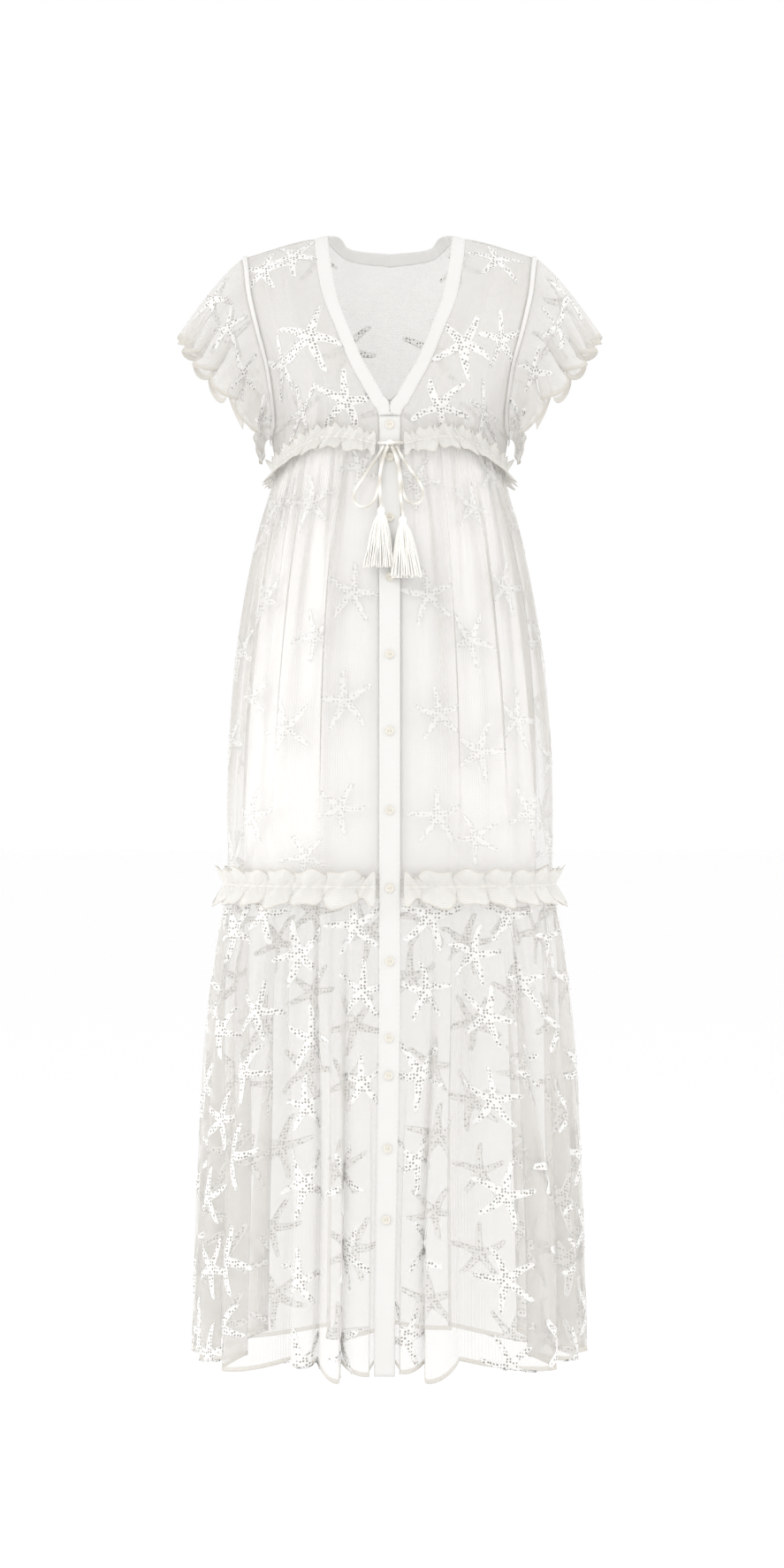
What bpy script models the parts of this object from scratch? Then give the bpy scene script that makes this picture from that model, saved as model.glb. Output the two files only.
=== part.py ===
"""A sheer maxi dress with flutter sleeves, hollow and open, in the shape that it has when worn.

Metres, +Z up. The dress faces -Y, its left side is at +X, and the origin is midway between the two
points where the neck edge crosses the shoulders. A "drop" is a distance down from the origin, an
"angle" is counted round the dress from the front middle towards its left side, and a "fraction" runs
across a panel from its first edge to its last.
"""

import math
from collections import namedtuple

import bmesh
import bpy
from mathutils import Vector

# Cloth and seams
GAP = 0.0003
HALF_GAP = GAP / 2
WALL = 0.0015
RUFFLE_WALL = 0.0012
STEP = 0.002

# Levels
BODICE_LEVELS = (0, 0.5, 1, 1.5, 2, 2.3, 2.6, 3, 3.4, 3.8, 4.3, 4.9, 5.5, 6.1, 6.8, 7.5, 8.2, 9)
V_ROW = 1
UNDERARM_ROW = 2
SHOULDER_ROW = 9
WAIST_SEAM_DROP = 0.265
PLACKET_TOP_DROP = 0.2275
TIER_DROP = 0.770
HEM_DROP = 1.327
LINING_HEM_DROP = 0.760

# Button band
HALF_PLACKET = 0.012
HALF_UNDER_PLACKET = 0.0115
PLACKET_DRIFT = -0.006
DRIFT_START_DROP = 0.85
PLACKET_DROPS = (0.2275, 0.244, 0.256, 0.268, 0.285, 0.305, 0.33, 0.364, 0.41, 0.457, 0.53, 0.62, 0.70)
PLACKET_DROPS += (0.77, 0.81, 0.86, 0.93, 1.00, 1.07, 1.14, 1.22, HEM_DROP)
BAND_WIDTH = 0.0165
BAND_CROSSING = 0.0051
BINDING_WIDTH = 0.0055
BINDING_LIFT = 0.0008
BINDING_END_LIFT = 0.0004

# Buttons
BUTTON_RADIUS = 0.005
BUTTON_SIDES = 8
HOLE_HALF_SIZE = 0.00055
HOLE_OFFSET = 0.0012
BUTTON_DROPS = (0.2370, 0.2745, 0.345, 0.414, 0.503, 0.591, 0.682, 0.7715, 0.855, 0.942, 0.985, 1.068, 1.149)

# Bodice
FRONT_COLUMNS = 10
BACK_COLUMNS = 12
BODICE_GATHER_DEPTH = 0.0011
NECK_MIDDLE = Vector((0, -0.03, -0.05))
NECK_RISE = 0.25
ARMHOLE_MIDDLE = Vector((0.155, 0, -0.14))
UNDERARM = Vector((0.1395, 0, -0.248))
UNDERARM_REACH = 0.08

# Gathers and ruffles: waves in a front panel, and twice as many in a back
COLUMNS_PER_WAVE = 4
UPPER_GATHERS = 9
LOWER_GATHERS = 8
GATHER_DEPTH = 0.0020
RUFFLE_GAP = 0.0004
RUFFLE_CLEAR = GATHER_DEPTH + RUFFLE_GAP + RUFFLE_WALL
RUFFLE_START = 0.0157
WAIST_WAVES = 6
TIER_WAVES = 6
SLEEVE_WAVES = 11

# Drawstring
CORD_RADIUS = 0.00165
CORD_LIFT = 0.0058
TAIL_LIFT = 0.0095
TASSEL_LIFT = 0.0170
STRANDS_ACROSS = 5

SkirtLevel = namedtuple("SkirtLevel", "drop half_width front back")
SKIRT = (
    SkirtLevel(0.2272, 0.1330, 0.1200, 0.1010),
    SkirtLevel(0.2620, 0.1315, 0.1180, 0.1010),
    SkirtLevel(0.3000, 0.1370, 0.1215, 0.1060),
    SkirtLevel(0.3640, 0.1525, 0.1300, 0.1170),
    SkirtLevel(0.4570, 0.1680, 0.1395, 0.1290),
    SkirtLevel(0.5500, 0.1795, 0.1465, 0.1390),
    SkirtLevel(0.6600, 0.1875, 0.1515, 0.1460),
    SkirtLevel(0.7700, 0.1915, 0.1545, 0.1500),
    SkirtLevel(0.8400, 0.2010, 0.1600, 0.1570),
    SkirtLevel(0.9300, 0.2090, 0.1670, 0.1650),
    SkirtLevel(1.0480, 0.2140, 0.1730, 0.1720),
    SkirtLevel(1.1900, 0.2200, 0.1790, 0.1790),
    SkirtLevel(1.3270, 0.2240, 0.1830, 0.1840),
)
LINING = (
    SkirtLevel(0.2500, 0.1275, 0.1140, 0.0970),
    SkirtLevel(0.3000, 0.1320, 0.1170, 0.1010),
    SkirtLevel(0.3640, 0.1450, 0.1230, 0.1090),
    SkirtLevel(0.4570, 0.1580, 0.1295, 0.1190),
    SkirtLevel(0.5500, 0.1660, 0.1330, 0.1260),
    SkirtLevel(0.6600, 0.1710, 0.1355, 0.1310),
    SkirtLevel(0.7600, 0.1730, 0.1370, 0.1340),
)

WaistPoint = namedtuple("WaistPoint", "degrees drop")
WAIST = (
    WaistPoint(0, 0.2620),
    WaistPoint(35, 0.2500),
    WaistPoint(90, 0.2850),
    WaistPoint(180, 0.2700),
)

# The bodice, row by row from the waist up to the shoulder: points from its front or middle edge outwards
FrontRow = namedtuple("FrontRow", "inner crown outer")
FRONT_ROWS = (
    FrontRow((0.0123, -0.1180, -0.2620), (0.0750, -0.0976, -0.250), (0.1315, 0, -0.285)),
    FrontRow((0.0133, -0.1200, -0.2265), (0.0800, -0.1090, -0.230), (0.1360, 0, -0.263)),
    FrontRow((0.0220, -0.1212, -0.2115), (0.0840, -0.1190, -0.214), (0.1395, 0, -0.248)),
    FrontRow((0.0345, -0.1207, -0.1885), (0.0870, -0.1270, -0.196), (0.1388, -0.025, -0.241)),
    FrontRow((0.0466, -0.1180, -0.1660), (0.0910, -0.1295, -0.174), (0.1380, -0.050, -0.214)),
    FrontRow((0.0631, -0.1060, -0.1250), (0.1020, -0.1220, -0.138), (0.1445, -0.067, -0.165)),
    FrontRow((0.0775, -0.0850, -0.0870), (0.1140, -0.0960, -0.103), (0.1557, -0.063, -0.124)),
    FrontRow((0.0860, -0.0500, -0.0420), (0.1260, -0.0560, -0.058), (0.1666, -0.044, -0.080)),
    FrontRow((0.0885, -0.0275, -0.0205), (0.1290, -0.0310, -0.032), (0.1708, -0.0255, -0.0475)),
    FrontRow((0.0897, 0, -0.0080), (0.1316, 0, -0.018), (0.1735, 0, -0.031)),
)
BackRow = namedtuple("BackRow", "centre quarter middle outer")
BACK_ROWS = (
    BackRow((0, 0.1010, -0.270), (0.045, 0.0950, -0.271), (0.0930, 0.071, -0.276), (0.1315, 0, -0.285)),
    BackRow((0, 0.0990, -0.240), (0.045, 0.0950, -0.243), (0.0950, 0.074, -0.251), (0.1360, 0, -0.263)),
    BackRow((0, 0.1000, -0.215), (0.045, 0.0965, -0.219), (0.0965, 0.077, -0.229), (0.1395, 0, -0.248)),
    BackRow((0, 0.1020, -0.190), (0.045, 0.0995, -0.194), (0.0962, 0.082, -0.207), (0.1388, 0.024, -0.240)),
    BackRow((0, 0.1040, -0.165), (0.045, 0.1015, -0.169), (0.0950, 0.087, -0.181), (0.1388, 0.046, -0.213)),
    BackRow((0, 0.1020, -0.125), (0.044, 0.1000, -0.128), (0.0930, 0.088, -0.138), (0.1455, 0.060, -0.165)),
    BackRow((0, 0.0930, -0.085), (0.043, 0.0900, -0.087), (0.0910, 0.077, -0.092), (0.1560, 0.055, -0.118)),
    BackRow((0, 0.0800, -0.054), (0.045, 0.0750, -0.051), (0.0905, 0.046, -0.041), (0.1665, 0.036, -0.074)),
    BackRow((0, 0.0735, -0.043), (0.048, 0.0665, -0.037), (0.0905, 0.026, -0.0205), (0.1708, 0.0225, -0.046)),
    BackRow((0, 0.0680, -0.033), (0.051, 0.0560, -0.026), (0.0897, 0, -0.008), (0.1735, 0, -0.031)),
)

# Skirt folds: how deep the small gathers and the broad folds stand at a share of the way down
FoldGrowth = namedtuple("FoldGrowth", "share gather fold")
UPPER_GROWTH = (
    FoldGrowth(0, 0.95, 0.0),
    FoldGrowth(0.12, 0.95, 0.18),
    FoldGrowth(0.35, 0.5, 0.9),
    FoldGrowth(0.68, 0.2, 1.0),
    FoldGrowth(1, 0.4, 0.12),
)
LOWER_GROWTH = (
    FoldGrowth(0, 0.55, 0.02),
    FoldGrowth(0.12, 0.9, 0.30),
    FoldGrowth(0.36, 0.4, 0.62),
    FoldGrowth(0.66, 0.15, 0.84),
    FoldGrowth(1, 0.05, 1.0),
)
BROAD_FOLD_DEPTH = 0.0048
FOLD_WEIGHTS = (0.7, 1.2, 0.8, 1.3, 0.6, 1.0, 1.2)

# Lobes of the hem, each from where the last one ended
Lobe = namedtuple("Lobe", "to_degrees depth gathers")
LOBES = {
    "front_right": (
        Lobe(13.6, 0.012, 1),
        Lobe(21.3, 0.014, 1),
        Lobe(29.8, 0.005, 1),
        Lobe(51.6, 0.020, 2),
        Lobe(70.0, 0.017, 2),
        Lobe(90.0, 0.015, 1),
    ),
    "front_left": (
        Lobe(12.3, 0.011, 1),
        Lobe(23.5, 0.014, 1),
        Lobe(51.2, 0.021, 2),
        Lobe(70.0, 0.016, 2),
        Lobe(90.0, 0.015, 2),
    ),
    "back": (
        Lobe(114, 0.016, 2),
        Lobe(134, 0.014, 2),
        Lobe(160, 0.020, 2),
        Lobe(178, 0.012, 2),
        Lobe(200, 0.015, 2),
        Lobe(225, 0.020, 2),
        Lobe(244, 0.014, 2),
        Lobe(270, 0.017, 2),
    ),
}
LOBE_ROOT = 0.4

# The left sleeve's hem, by the bodice row that its thread of cloth starts from; its back mirrors its front
SleeveHem = namedtuple("SleeveHem", "row x forward z flute")
SLEEVE_HEM = (
    SleeveHem(2, 0.1580, 0.000, -0.263, 0.010),
    SleeveHem(3, 0.1600, 0.046, -0.256, 0.016),
    SleeveHem(4, 0.1660, 0.077, -0.243, 0.020),
    SleeveHem(5, 0.1850, 0.094, -0.213, 0.022),
    SleeveHem(6, 0.2050, 0.086, -0.182, 0.021),
    SleeveHem(7, 0.2250, 0.058, -0.153, 0.018),
    SleeveHem(8, 0.2350, 0.031, -0.139, 0.015),
    SleeveHem(9, 0.2405, 0.000, -0.129, 0.012),
)
SLEEVE_START = 0.0012
UNDERARM_CLEAR = 0.0009
UNDERARM_RISE = 0.8

RuffleRow = namedtuple("RuffleRow", "rise out wave")
WAIST_RUFFLE = (
    RuffleRow(-0.0115, 0.0056, 0.0036),
    RuffleRow(-0.0035, 0.0, 0.0),
    RuffleRow(0.0040, 0.0, 0.0),
    RuffleRow(0.0115, 0.0022, 0.0016),
)
TIER_RUFFLE = (
    RuffleRow(-0.0180, 0.0050, 0.0042),
    RuffleRow(-0.0060, 0.0, 0.0),
    RuffleRow(0.0060, 0.0, 0.0),
    RuffleRow(0.0170, 0.0040, 0.0036),
)

# The bow: centre lines across and down, in front of the button band
CordPoint = namedtuple("CordPoint", "across drop lift")
LOOP_RIGHT = (
    CordPoint(-0.0070, 0.2622, CORD_LIFT),
    CordPoint(-0.0112, 0.2695, CORD_LIFT),
    CordPoint(-0.0165, 0.2785, CORD_LIFT),
    CordPoint(-0.0270, 0.2940, CORD_LIFT),
    CordPoint(-0.0370, 0.3090, CORD_LIFT),
    CordPoint(-0.0412, 0.3200, CORD_LIFT),
    CordPoint(-0.0375, 0.3305, CORD_LIFT),
    CordPoint(-0.0285, 0.3330, CORD_LIFT),
    CordPoint(-0.0185, 0.3265, CORD_LIFT),
    CordPoint(-0.0138, 0.3130, CORD_LIFT),
    CordPoint(-0.0112, 0.2930, CORD_LIFT),
    CordPoint(-0.0085, 0.2760, CORD_LIFT),
    CordPoint(-0.0052, 0.2680, CORD_LIFT),
    CordPoint(-0.0034, 0.2632, CORD_LIFT),
)
LOOP_LEFT = (
    CordPoint(0.0070, 0.2622, CORD_LIFT),
    CordPoint(0.0112, 0.2695, CORD_LIFT),
    CordPoint(0.0160, 0.2785, CORD_LIFT),
    CordPoint(0.0255, 0.2920, CORD_LIFT),
    CordPoint(0.0345, 0.3050, CORD_LIFT),
    CordPoint(0.0385, 0.3160, CORD_LIFT),
    CordPoint(0.0350, 0.3265, CORD_LIFT),
    CordPoint(0.0265, 0.3295, CORD_LIFT),
    CordPoint(0.0180, 0.3230, CORD_LIFT),
    CordPoint(0.0143, 0.3090, CORD_LIFT),
    CordPoint(0.0116, 0.2900, CORD_LIFT),
    CordPoint(0.0088, 0.2760, CORD_LIFT),
    CordPoint(0.0052, 0.2680, CORD_LIFT),
    CordPoint(0.0034, 0.2632, CORD_LIFT),
)
TAIL_RIGHT = (
    CordPoint(-0.0020, 0.2627, TAIL_LIFT),
    CordPoint(-0.0060, 0.2730, TAIL_LIFT),
    CordPoint(-0.0104, 0.2900, 0.0105),
    CordPoint(-0.0113, 0.3130, 0.0140),
    CordPoint(-0.0100, 0.3333, TASSEL_LIFT),
)
TAIL_LEFT = (
    CordPoint(0.0020, 0.2627, TAIL_LIFT),
    CordPoint(0.0060, 0.2730, TAIL_LIFT),
    CordPoint(0.0104, 0.2900, 0.0105),
    CordPoint(0.0124, 0.3200, 0.0138),
    CordPoint(0.0150, 0.3443, TASSEL_LIFT),
)
KnotRing = namedtuple("KnotRing", "across radius")
KNOT = (
    KnotRing(-0.0139, 0.00165),
    KnotRing(-0.0080, 0.00170),
    KnotRing(-0.0050, 0.00260),
    KnotRing(-0.0025, 0.00420),
    KnotRing(0.0025, 0.00430),
    KnotRing(0.0050, 0.00280),
    KnotRing(0.0085, 0.00170),
    KnotRing(0.0160, 0.00165),
)
KNOT_DROP = 0.2585

Tassel = namedtuple("Tassel", "name across drop sway length")
TASSELS = (
    Tassel("tassel_right", -0.0100, 0.3340, -0.0022, 0.0700),
    Tassel("tassel_left", 0.0150, 0.3450, 0.0040, 0.0710),
)
HeadRing = namedtuple("HeadRing", "radius height")
TASSEL_HEAD = (
    HeadRing(0.0046, 0.0),
    HeadRing(0.0036, 0.0035),
    HeadRing(0.0041, 0.0065),
    HeadRing(0.0022, 0.0098),
)


# Curves and points


def smooth(keys, values, at):
    """The value, a number or a vector, on a smooth curve through the values at the keys."""
    if at <= keys[0]:
        return values[0]
    if at >= keys[-1]:
        return values[-1]
    first = max(i for i in range(len(keys) - 1) if keys[i] <= at)
    last = first + 1
    span = keys[last] - keys[first]

    def slope(i):
        before = max(i - 1, 0)
        after = min(i + 1, len(keys) - 1)
        return (values[after] - values[before]) / (keys[after] - keys[before])

    t = (at - keys[first]) / span
    return (
        values[first] * (2 * t**3 - 3 * t**2 + 1)
        + slope(first) * (span * (t**3 - 2 * t**2 + t))
        + values[last] * (3 * t**2 - 2 * t**3)
        + slope(last) * (span * (t**3 - t**2))
    )


def read(table, column, at):
    """A named column of a table at a place along the table's first column."""
    return smooth([row[0] for row in table], [getattr(row, column) for row in table], at)


def ease(part):
    part = min(max(part, 0.0), 1.0)
    return part * part * (3 - 2 * part)


def drift(drop):
    """How far the button band has wandered sideways at this drop."""
    return PLACKET_DRIFT * ease((drop - DRIFT_START_DROP) / (HEM_DROP - DRIFT_START_DROP))


def round_normal(angle, drop, table=SKIRT):
    depth = read(table, "front" if math.cos(angle) > 0 else "back", drop)
    half_width = read(table, "half_width", drop)
    return Vector((math.sin(angle) / half_width, -math.cos(angle) / depth, 0)).normalized()


def round_point(angle, drop, out=0.0, table=SKIRT):
    """A point of the skirt's round, moved out by a distance."""
    depth = read(table, "front" if math.cos(angle) > 0 else "back", drop)
    x = read(table, "half_width", drop) * math.sin(angle)
    x += drift(drop) * max(math.cos(angle), 0.0) ** 2
    y = -depth * math.cos(angle)
    return Vector((x, y, -drop)) + round_normal(angle, drop, table) * out


def centre_point(across, drop, lift):
    """A point in front of the button band's cloth."""
    return Vector((across + drift(drop), -read(SKIRT, "front", drop) - lift, -drop))


def waist_drop(angle):
    degrees = math.degrees(angle) % 360
    return read(WAIST, "drop", min(degrees, 360 - degrees))


def panel_angle(panel, fraction, drop, start=HALF_PLACKET + GAP, table=SKIRT):
    """Where round the dress a panel is at a fraction of its width."""
    if panel == "back":
        edge = HALF_GAP / read(table, "back", drop)
        return math.pi / 2 + edge + (math.pi - 2 * edge) * fraction
    first = math.asin(start / read(table, "half_width", drop))
    last = math.pi / 2 - HALF_GAP / read(table, "front", drop)
    angle = first + (last - first) * fraction
    return -angle if panel == "front_right" else angle


# Solids


def material(name, colour, roughness):
    made = bpy.data.materials.new(name)
    made.use_nodes = True
    shader = made.node_tree.nodes["Principled BSDF"]
    shader.inputs["Base Color"].default_value = (*colour, 1)
    shader.inputs["Roughness"].default_value = roughness
    shader.inputs["Metallic"].default_value = 0
    return made


NET = (0.86, 0.85, 0.82)
PLAIN = (0.91, 0.90, 0.88)
THREAD = (0.90, 0.89, 0.86)


def add_object(name, data, colour, roughness=0.85):
    data.materials.append(material(name, colour, roughness))
    made = bpy.data.objects.new(name, data)
    bpy.context.scene.collection.objects.link(made)
    return made


def add_mesh(name, mesh_maker, colour):
    """Turns a bmesh into an object, with its faces outwards and its gentle edges smooth."""
    bmesh.ops.recalc_face_normals(mesh_maker, faces=mesh_maker.faces)
    mesh = bpy.data.meshes.new(name)
    mesh_maker.to_mesh(mesh)
    mesh_maker.free()
    mesh.shade_smooth()
    mesh.set_sharp_from_angle(angle=math.radians(50))
    return add_object(name, mesh, colour)


def wall(name, pairs, colour, ring=False):
    """A wall from rows of (outer point, inner point) pairs. A ring's rows close on themselves."""
    mesh_maker = bmesh.new()
    outer = [[mesh_maker.verts.new(pair[0]) for pair in row] for row in pairs]
    inner = [[mesh_maker.verts.new(pair[1]) for pair in row] for row in pairs]
    rows = len(pairs)
    columns = len(pairs[0])
    for j in range(columns if ring else columns - 1):
        k = (j + 1) % columns
        for i in range(rows - 1):
            mesh_maker.faces.new((outer[i][j], outer[i][k], outer[i + 1][k], outer[i + 1][j]))
            mesh_maker.faces.new((inner[i][j], inner[i + 1][j], inner[i + 1][k], inner[i][k]))
        mesh_maker.faces.new((outer[0][j], inner[0][j], inner[0][k], outer[0][k]))
        mesh_maker.faces.new((outer[-1][j], outer[-1][k], inner[-1][k], inner[-1][j]))
    if not ring:
        for i in range(rows - 1):
            mesh_maker.faces.new((outer[i][0], outer[i + 1][0], inner[i + 1][0], inner[i][0]))
            mesh_maker.faces.new((outer[i][-1], inner[i][-1], inner[i + 1][-1], outer[i + 1][-1]))
    return add_mesh(name, mesh_maker, colour)


def normal_of(surface, fraction, share, level=False):
    """The outward direction of a surface, kept in the seam's plane at the side and shoulder seams.

    Under the arm, where the armhole pulls the rows out of shape, it is taken level from the round.
    """
    across = surface(fraction + STEP, share) - surface(fraction - STEP, share)
    along = surface(fraction, share + STEP) - surface(fraction, share - STEP)
    place = surface(fraction, share)
    if level:
        along = Vector((0, 0, 1))
    normal = across.cross(along)
    sure = ease((Vector((abs(place.x), place.y, place.z)) - UNDERARM).length / UNDERARM_REACH)
    outward = Vector((place.x, place.y, 0.12 + place.z))
    if level or outward.z < 0:
        outward.z = 0
    if normal.dot(outward) < 0:
        normal = -normal
    from_round = Vector((place.x, 1.36 * place.y, 0)).normalized()
    normal = normal.normalized() * sure + from_round * (1 - sure)
    if level:
        normal.z = 0
    if abs(place.y) < 2 * GAP:
        normal.y = 0
    return normal.normalized()


def cloth(name, surface, fractions, shares, colour=NET, level=False, thickness=WALL):
    """A panel whose outer face is the surface and whose wall stands inside it."""
    pairs = []
    for share in shares:
        row = []
        for fraction in fractions:
            place = surface(fraction, share)
            normal = normal_of(surface, fraction, share, level or share == 0)
            row.append((place, place - normal * thickness))
        pairs.append(row)
    return wall(name, pairs, colour)


def evenly(count):
    return [i / count for i in range(count + 1)]


# Bodice


def column_point(rows, column, row):
    """A point of one of the bodice's columns. The outer one has a corner at the underarm."""
    first, last = 0, len(rows) - 1
    if column == "outer":
        first, last = (UNDERARM_ROW, last) if row >= UNDERARM_ROW else (0, UNDERARM_ROW)
    keys = list(range(first, last + 1))
    return smooth(keys, [Vector(getattr(rows[key], column)) for key in keys], row)


def row_point(rows, keys, columns, fraction, row):
    return smooth(keys, [column_point(rows, column, row) for column in columns], fraction)


def bodice_base(panel, fraction, row):
    """The bodice's outer face before its gathers. Row 0 is the waist seam, the last is the shoulder."""
    if panel == "back":
        half = abs(1 - 2 * fraction)
        waist_angle = math.pi / 2 + math.pi * fraction
        rows, keys, columns = BACK_ROWS, (0, 1 / 3, 2 / 3, 1), ("centre", "quarter", "middle", "outer")
        side = -1 if fraction > 0.5 else 1
    else:
        half = fraction
        waist_angle = panel_angle("front_left", fraction, WAIST_SEAM_DROP)
        rows, keys, columns = FRONT_ROWS, (0, 0.5, 1), ("inner", "crown", "outer")
        side = -1 if panel == "front_right" else 1
    place = row_point(rows, keys, columns, half, row)
    if row < 3:
        level = waist_drop(waist_angle)
        seam = round_point(waist_angle, level)
        seam.x = abs(seam.x)
        seam.z = -level + GAP
        place = place + (seam - row_point(rows, keys, columns, half, 0)) * (1 - row / 3) ** 2
    place.y = max(place.y, HALF_GAP) if panel == "back" else min(place.y, -HALF_GAP)
    return Vector((side * place.x, place.y, place.z))


def bodice_surface(panel):
    def surface(fraction, share):
        place = bodice_base(panel, fraction, share * SHOULDER_ROW)
        waves = 8 if panel == "back" else 4
        depth = BODICE_GATHER_DEPTH * (1 - share) ** 2 * math.sin(math.pi * min(max(fraction, 0), 1))
        outward = Vector((place.x, place.y, 0)).normalized()
        return place + outward * depth * math.cos(2 * math.pi * waves * fraction)

    return surface


def add_bodice():
    shares = [level / SHOULDER_ROW for level in BODICE_LEVELS]
    cloth("bodice_front_right", bodice_surface("front_right"), evenly(FRONT_COLUMNS), shares)
    cloth("bodice_front_left", bodice_surface("front_left"), evenly(FRONT_COLUMNS), shares)
    cloth("bodice_back", bodice_surface("back"), evenly(BACK_COLUMNS), shares)


Frame = namedtuple("Frame", "row place normal off")


def edge_frame(panel, fraction, row, toward):
    """A point of the bodice's edge, its outward normal and the way off the edge towards a middle point."""

    def surface(at, share):
        return bodice_base(panel, at, share * SHOULDER_ROW)

    share = row / SHOULDER_ROW
    place = surface(fraction, share)
    normal = normal_of(surface, fraction, share)
    before = share if row == UNDERARM_ROW else share - STEP
    along = (surface(fraction, share + STEP) - surface(fraction, before)).normalized()
    off = normal.cross(along).normalized()
    return Frame(row, place, normal, -off if off.dot(toward - place) < 0 else off)


def add_front_neckband(panel):
    """The folded strip along a front's V. The right one runs on over the left one where they cross."""
    side = -1 if panel == "front_right" else 1
    frames = [edge_frame(panel, 0, level, NECK_MIDDLE) for level in BODICE_LEVELS if level >= V_ROW]
    tip_level = -PLACKET_TOP_DROP + GAP
    tip_across = BAND_CROSSING if side < 0 else BAND_CROSSING + 2 * GAP
    rows = [[Vector((side * (HALF_PLACKET + 2 * GAP), frames[0].place.y, tip_level))]]
    rows.append([Vector((tip_across, frames[0].place.y, tip_level))])
    for frame in frames:
        inner = frame.place + frame.off * (GAP + BAND_WIDTH)
        inner.x = side * max(side * inner.x, GAP)
        rows[0].append(frame.place + frame.off * GAP)
        rows[1].append(inner)
    normals = [frames[0].normal] + [frame.normal for frame in frames]
    pairs = [[(place, place - normal * WALL) for place, normal in zip(row, normals)] for row in rows]
    wall(panel.replace("front", "neckband"), pairs, PLAIN)


def add_back_neckband():
    """The strip along the back of the neck, between the shoulders."""

    def surface(fraction, share):
        return bodice_base("back", fraction, share * SHOULDER_ROW)

    rows = [[], []]
    first = BACK_COLUMNS // 6
    for column in range(first, BACK_COLUMNS - first + 1):
        fraction = column / BACK_COLUMNS
        place = surface(fraction, 1)
        normal = normal_of(surface, fraction, 1)
        near_shoulder = abs(3 * fraction - 1.5) ** 2
        rise = (place - surface(fraction, 1 - STEP)).normalized()
        inward = Vector((math.copysign(1, -place.x), 0, NECK_RISE))
        off = (rise * (1 - near_shoulder) + inward * near_shoulder).normalized()
        for row, reach in zip(rows, (GAP, GAP + BAND_WIDTH)):
            base = place + off * reach
            base.y = max(base.y, HALF_GAP)
            row.append((base, base - normal * WALL))
    wall("neckband_back", rows, PLAIN)


# Armholes and sleeves


def armhole_frames(side):
    """Frames round an armhole, from the shoulder down its front and up its back."""
    middle = Vector((side * ARMHOLE_MIDDLE.x, ARMHOLE_MIDDLE.y, ARMHOLE_MIDDLE.z))
    levels = [level for level in BODICE_LEVELS if level >= UNDERARM_ROW]
    front = "front_right" if side < 0 else "front_left"
    back_edge = 1 if side < 0 else 0
    places = [(front, 1, level) for level in reversed(levels)]
    places += [("back", back_edge, level) for level in levels[1:-1]]
    return [(panel, fraction, edge_frame(panel, fraction, row, middle)) for panel, fraction, row in places]


def slide(panel, fraction, row, target):
    """The (fraction, row) of the bodice's point nearest to a target, from a place near it."""
    for _ in range(6):
        place = bodice_base(panel, fraction, row)
        inward = STEP if fraction < 0.5 else -STEP
        across = (bodice_base(panel, fraction + inward, row) - place) / inward
        along = (bodice_base(panel, fraction, row - 10 * STEP) - place) / (-10 * STEP)
        both = across.dot(along)
        spread = across.dot(across) * along.dot(along) - both * both
        move = target - place
        to_side = (move.dot(across) * along.dot(along) - move.dot(along) * both) / spread
        to_row = (move.dot(along) * across.dot(across) - move.dot(across) * both) / spread
        fraction = min(max(fraction + to_side, 0), 1)
        row = min(max(row + to_row, 0), SHOULDER_ROW)
    return fraction, row


def add_binding(side):
    """A narrow strip on the bodice along the armhole's edge."""
    rows = [[], []]
    for panel, fraction, frame in armhole_frames(side):
        inside = slide(panel, fraction, frame.row, frame.place - frame.off * BINDING_WIDTH)
        height = (frame.row - UNDERARM_ROW) / (SHOULDER_ROW - UNDERARM_ROW)
        lift = BINDING_LIFT + BINDING_END_LIFT * (2 * height - 1) ** 4
        for row, place in zip(rows, (frame.place, bodice_base(panel, *inside))):
            base = place + frame.normal * lift
            row.append((base + frame.normal * RUFFLE_WALL, base))
    wall("armhole_binding_right" if side < 0 else "armhole_binding_left", rows, PLAIN, ring=True)


def spaced_frames(frames, count):
    """Frames evenly spaced along the straight runs of a closed loop of frames."""
    loop = frames + frames[:1]
    lengths = [0.0]
    for before, after in zip(loop, loop[1:]):
        lengths.append(lengths[-1] + (after.place - before.place).length)
    spaced = []
    for i in range(count):
        target = lengths[-1] * i / count
        first = max(k for k in range(len(loop) - 1) if lengths[k] <= target)
        part = (target - lengths[first]) / (lengths[first + 1] - lengths[first])
        before, after = loop[first], loop[first + 1]
        spaced.append(Frame(*(a + (b - a) * part for a, b in zip(before, after))))
    return spaced


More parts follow.
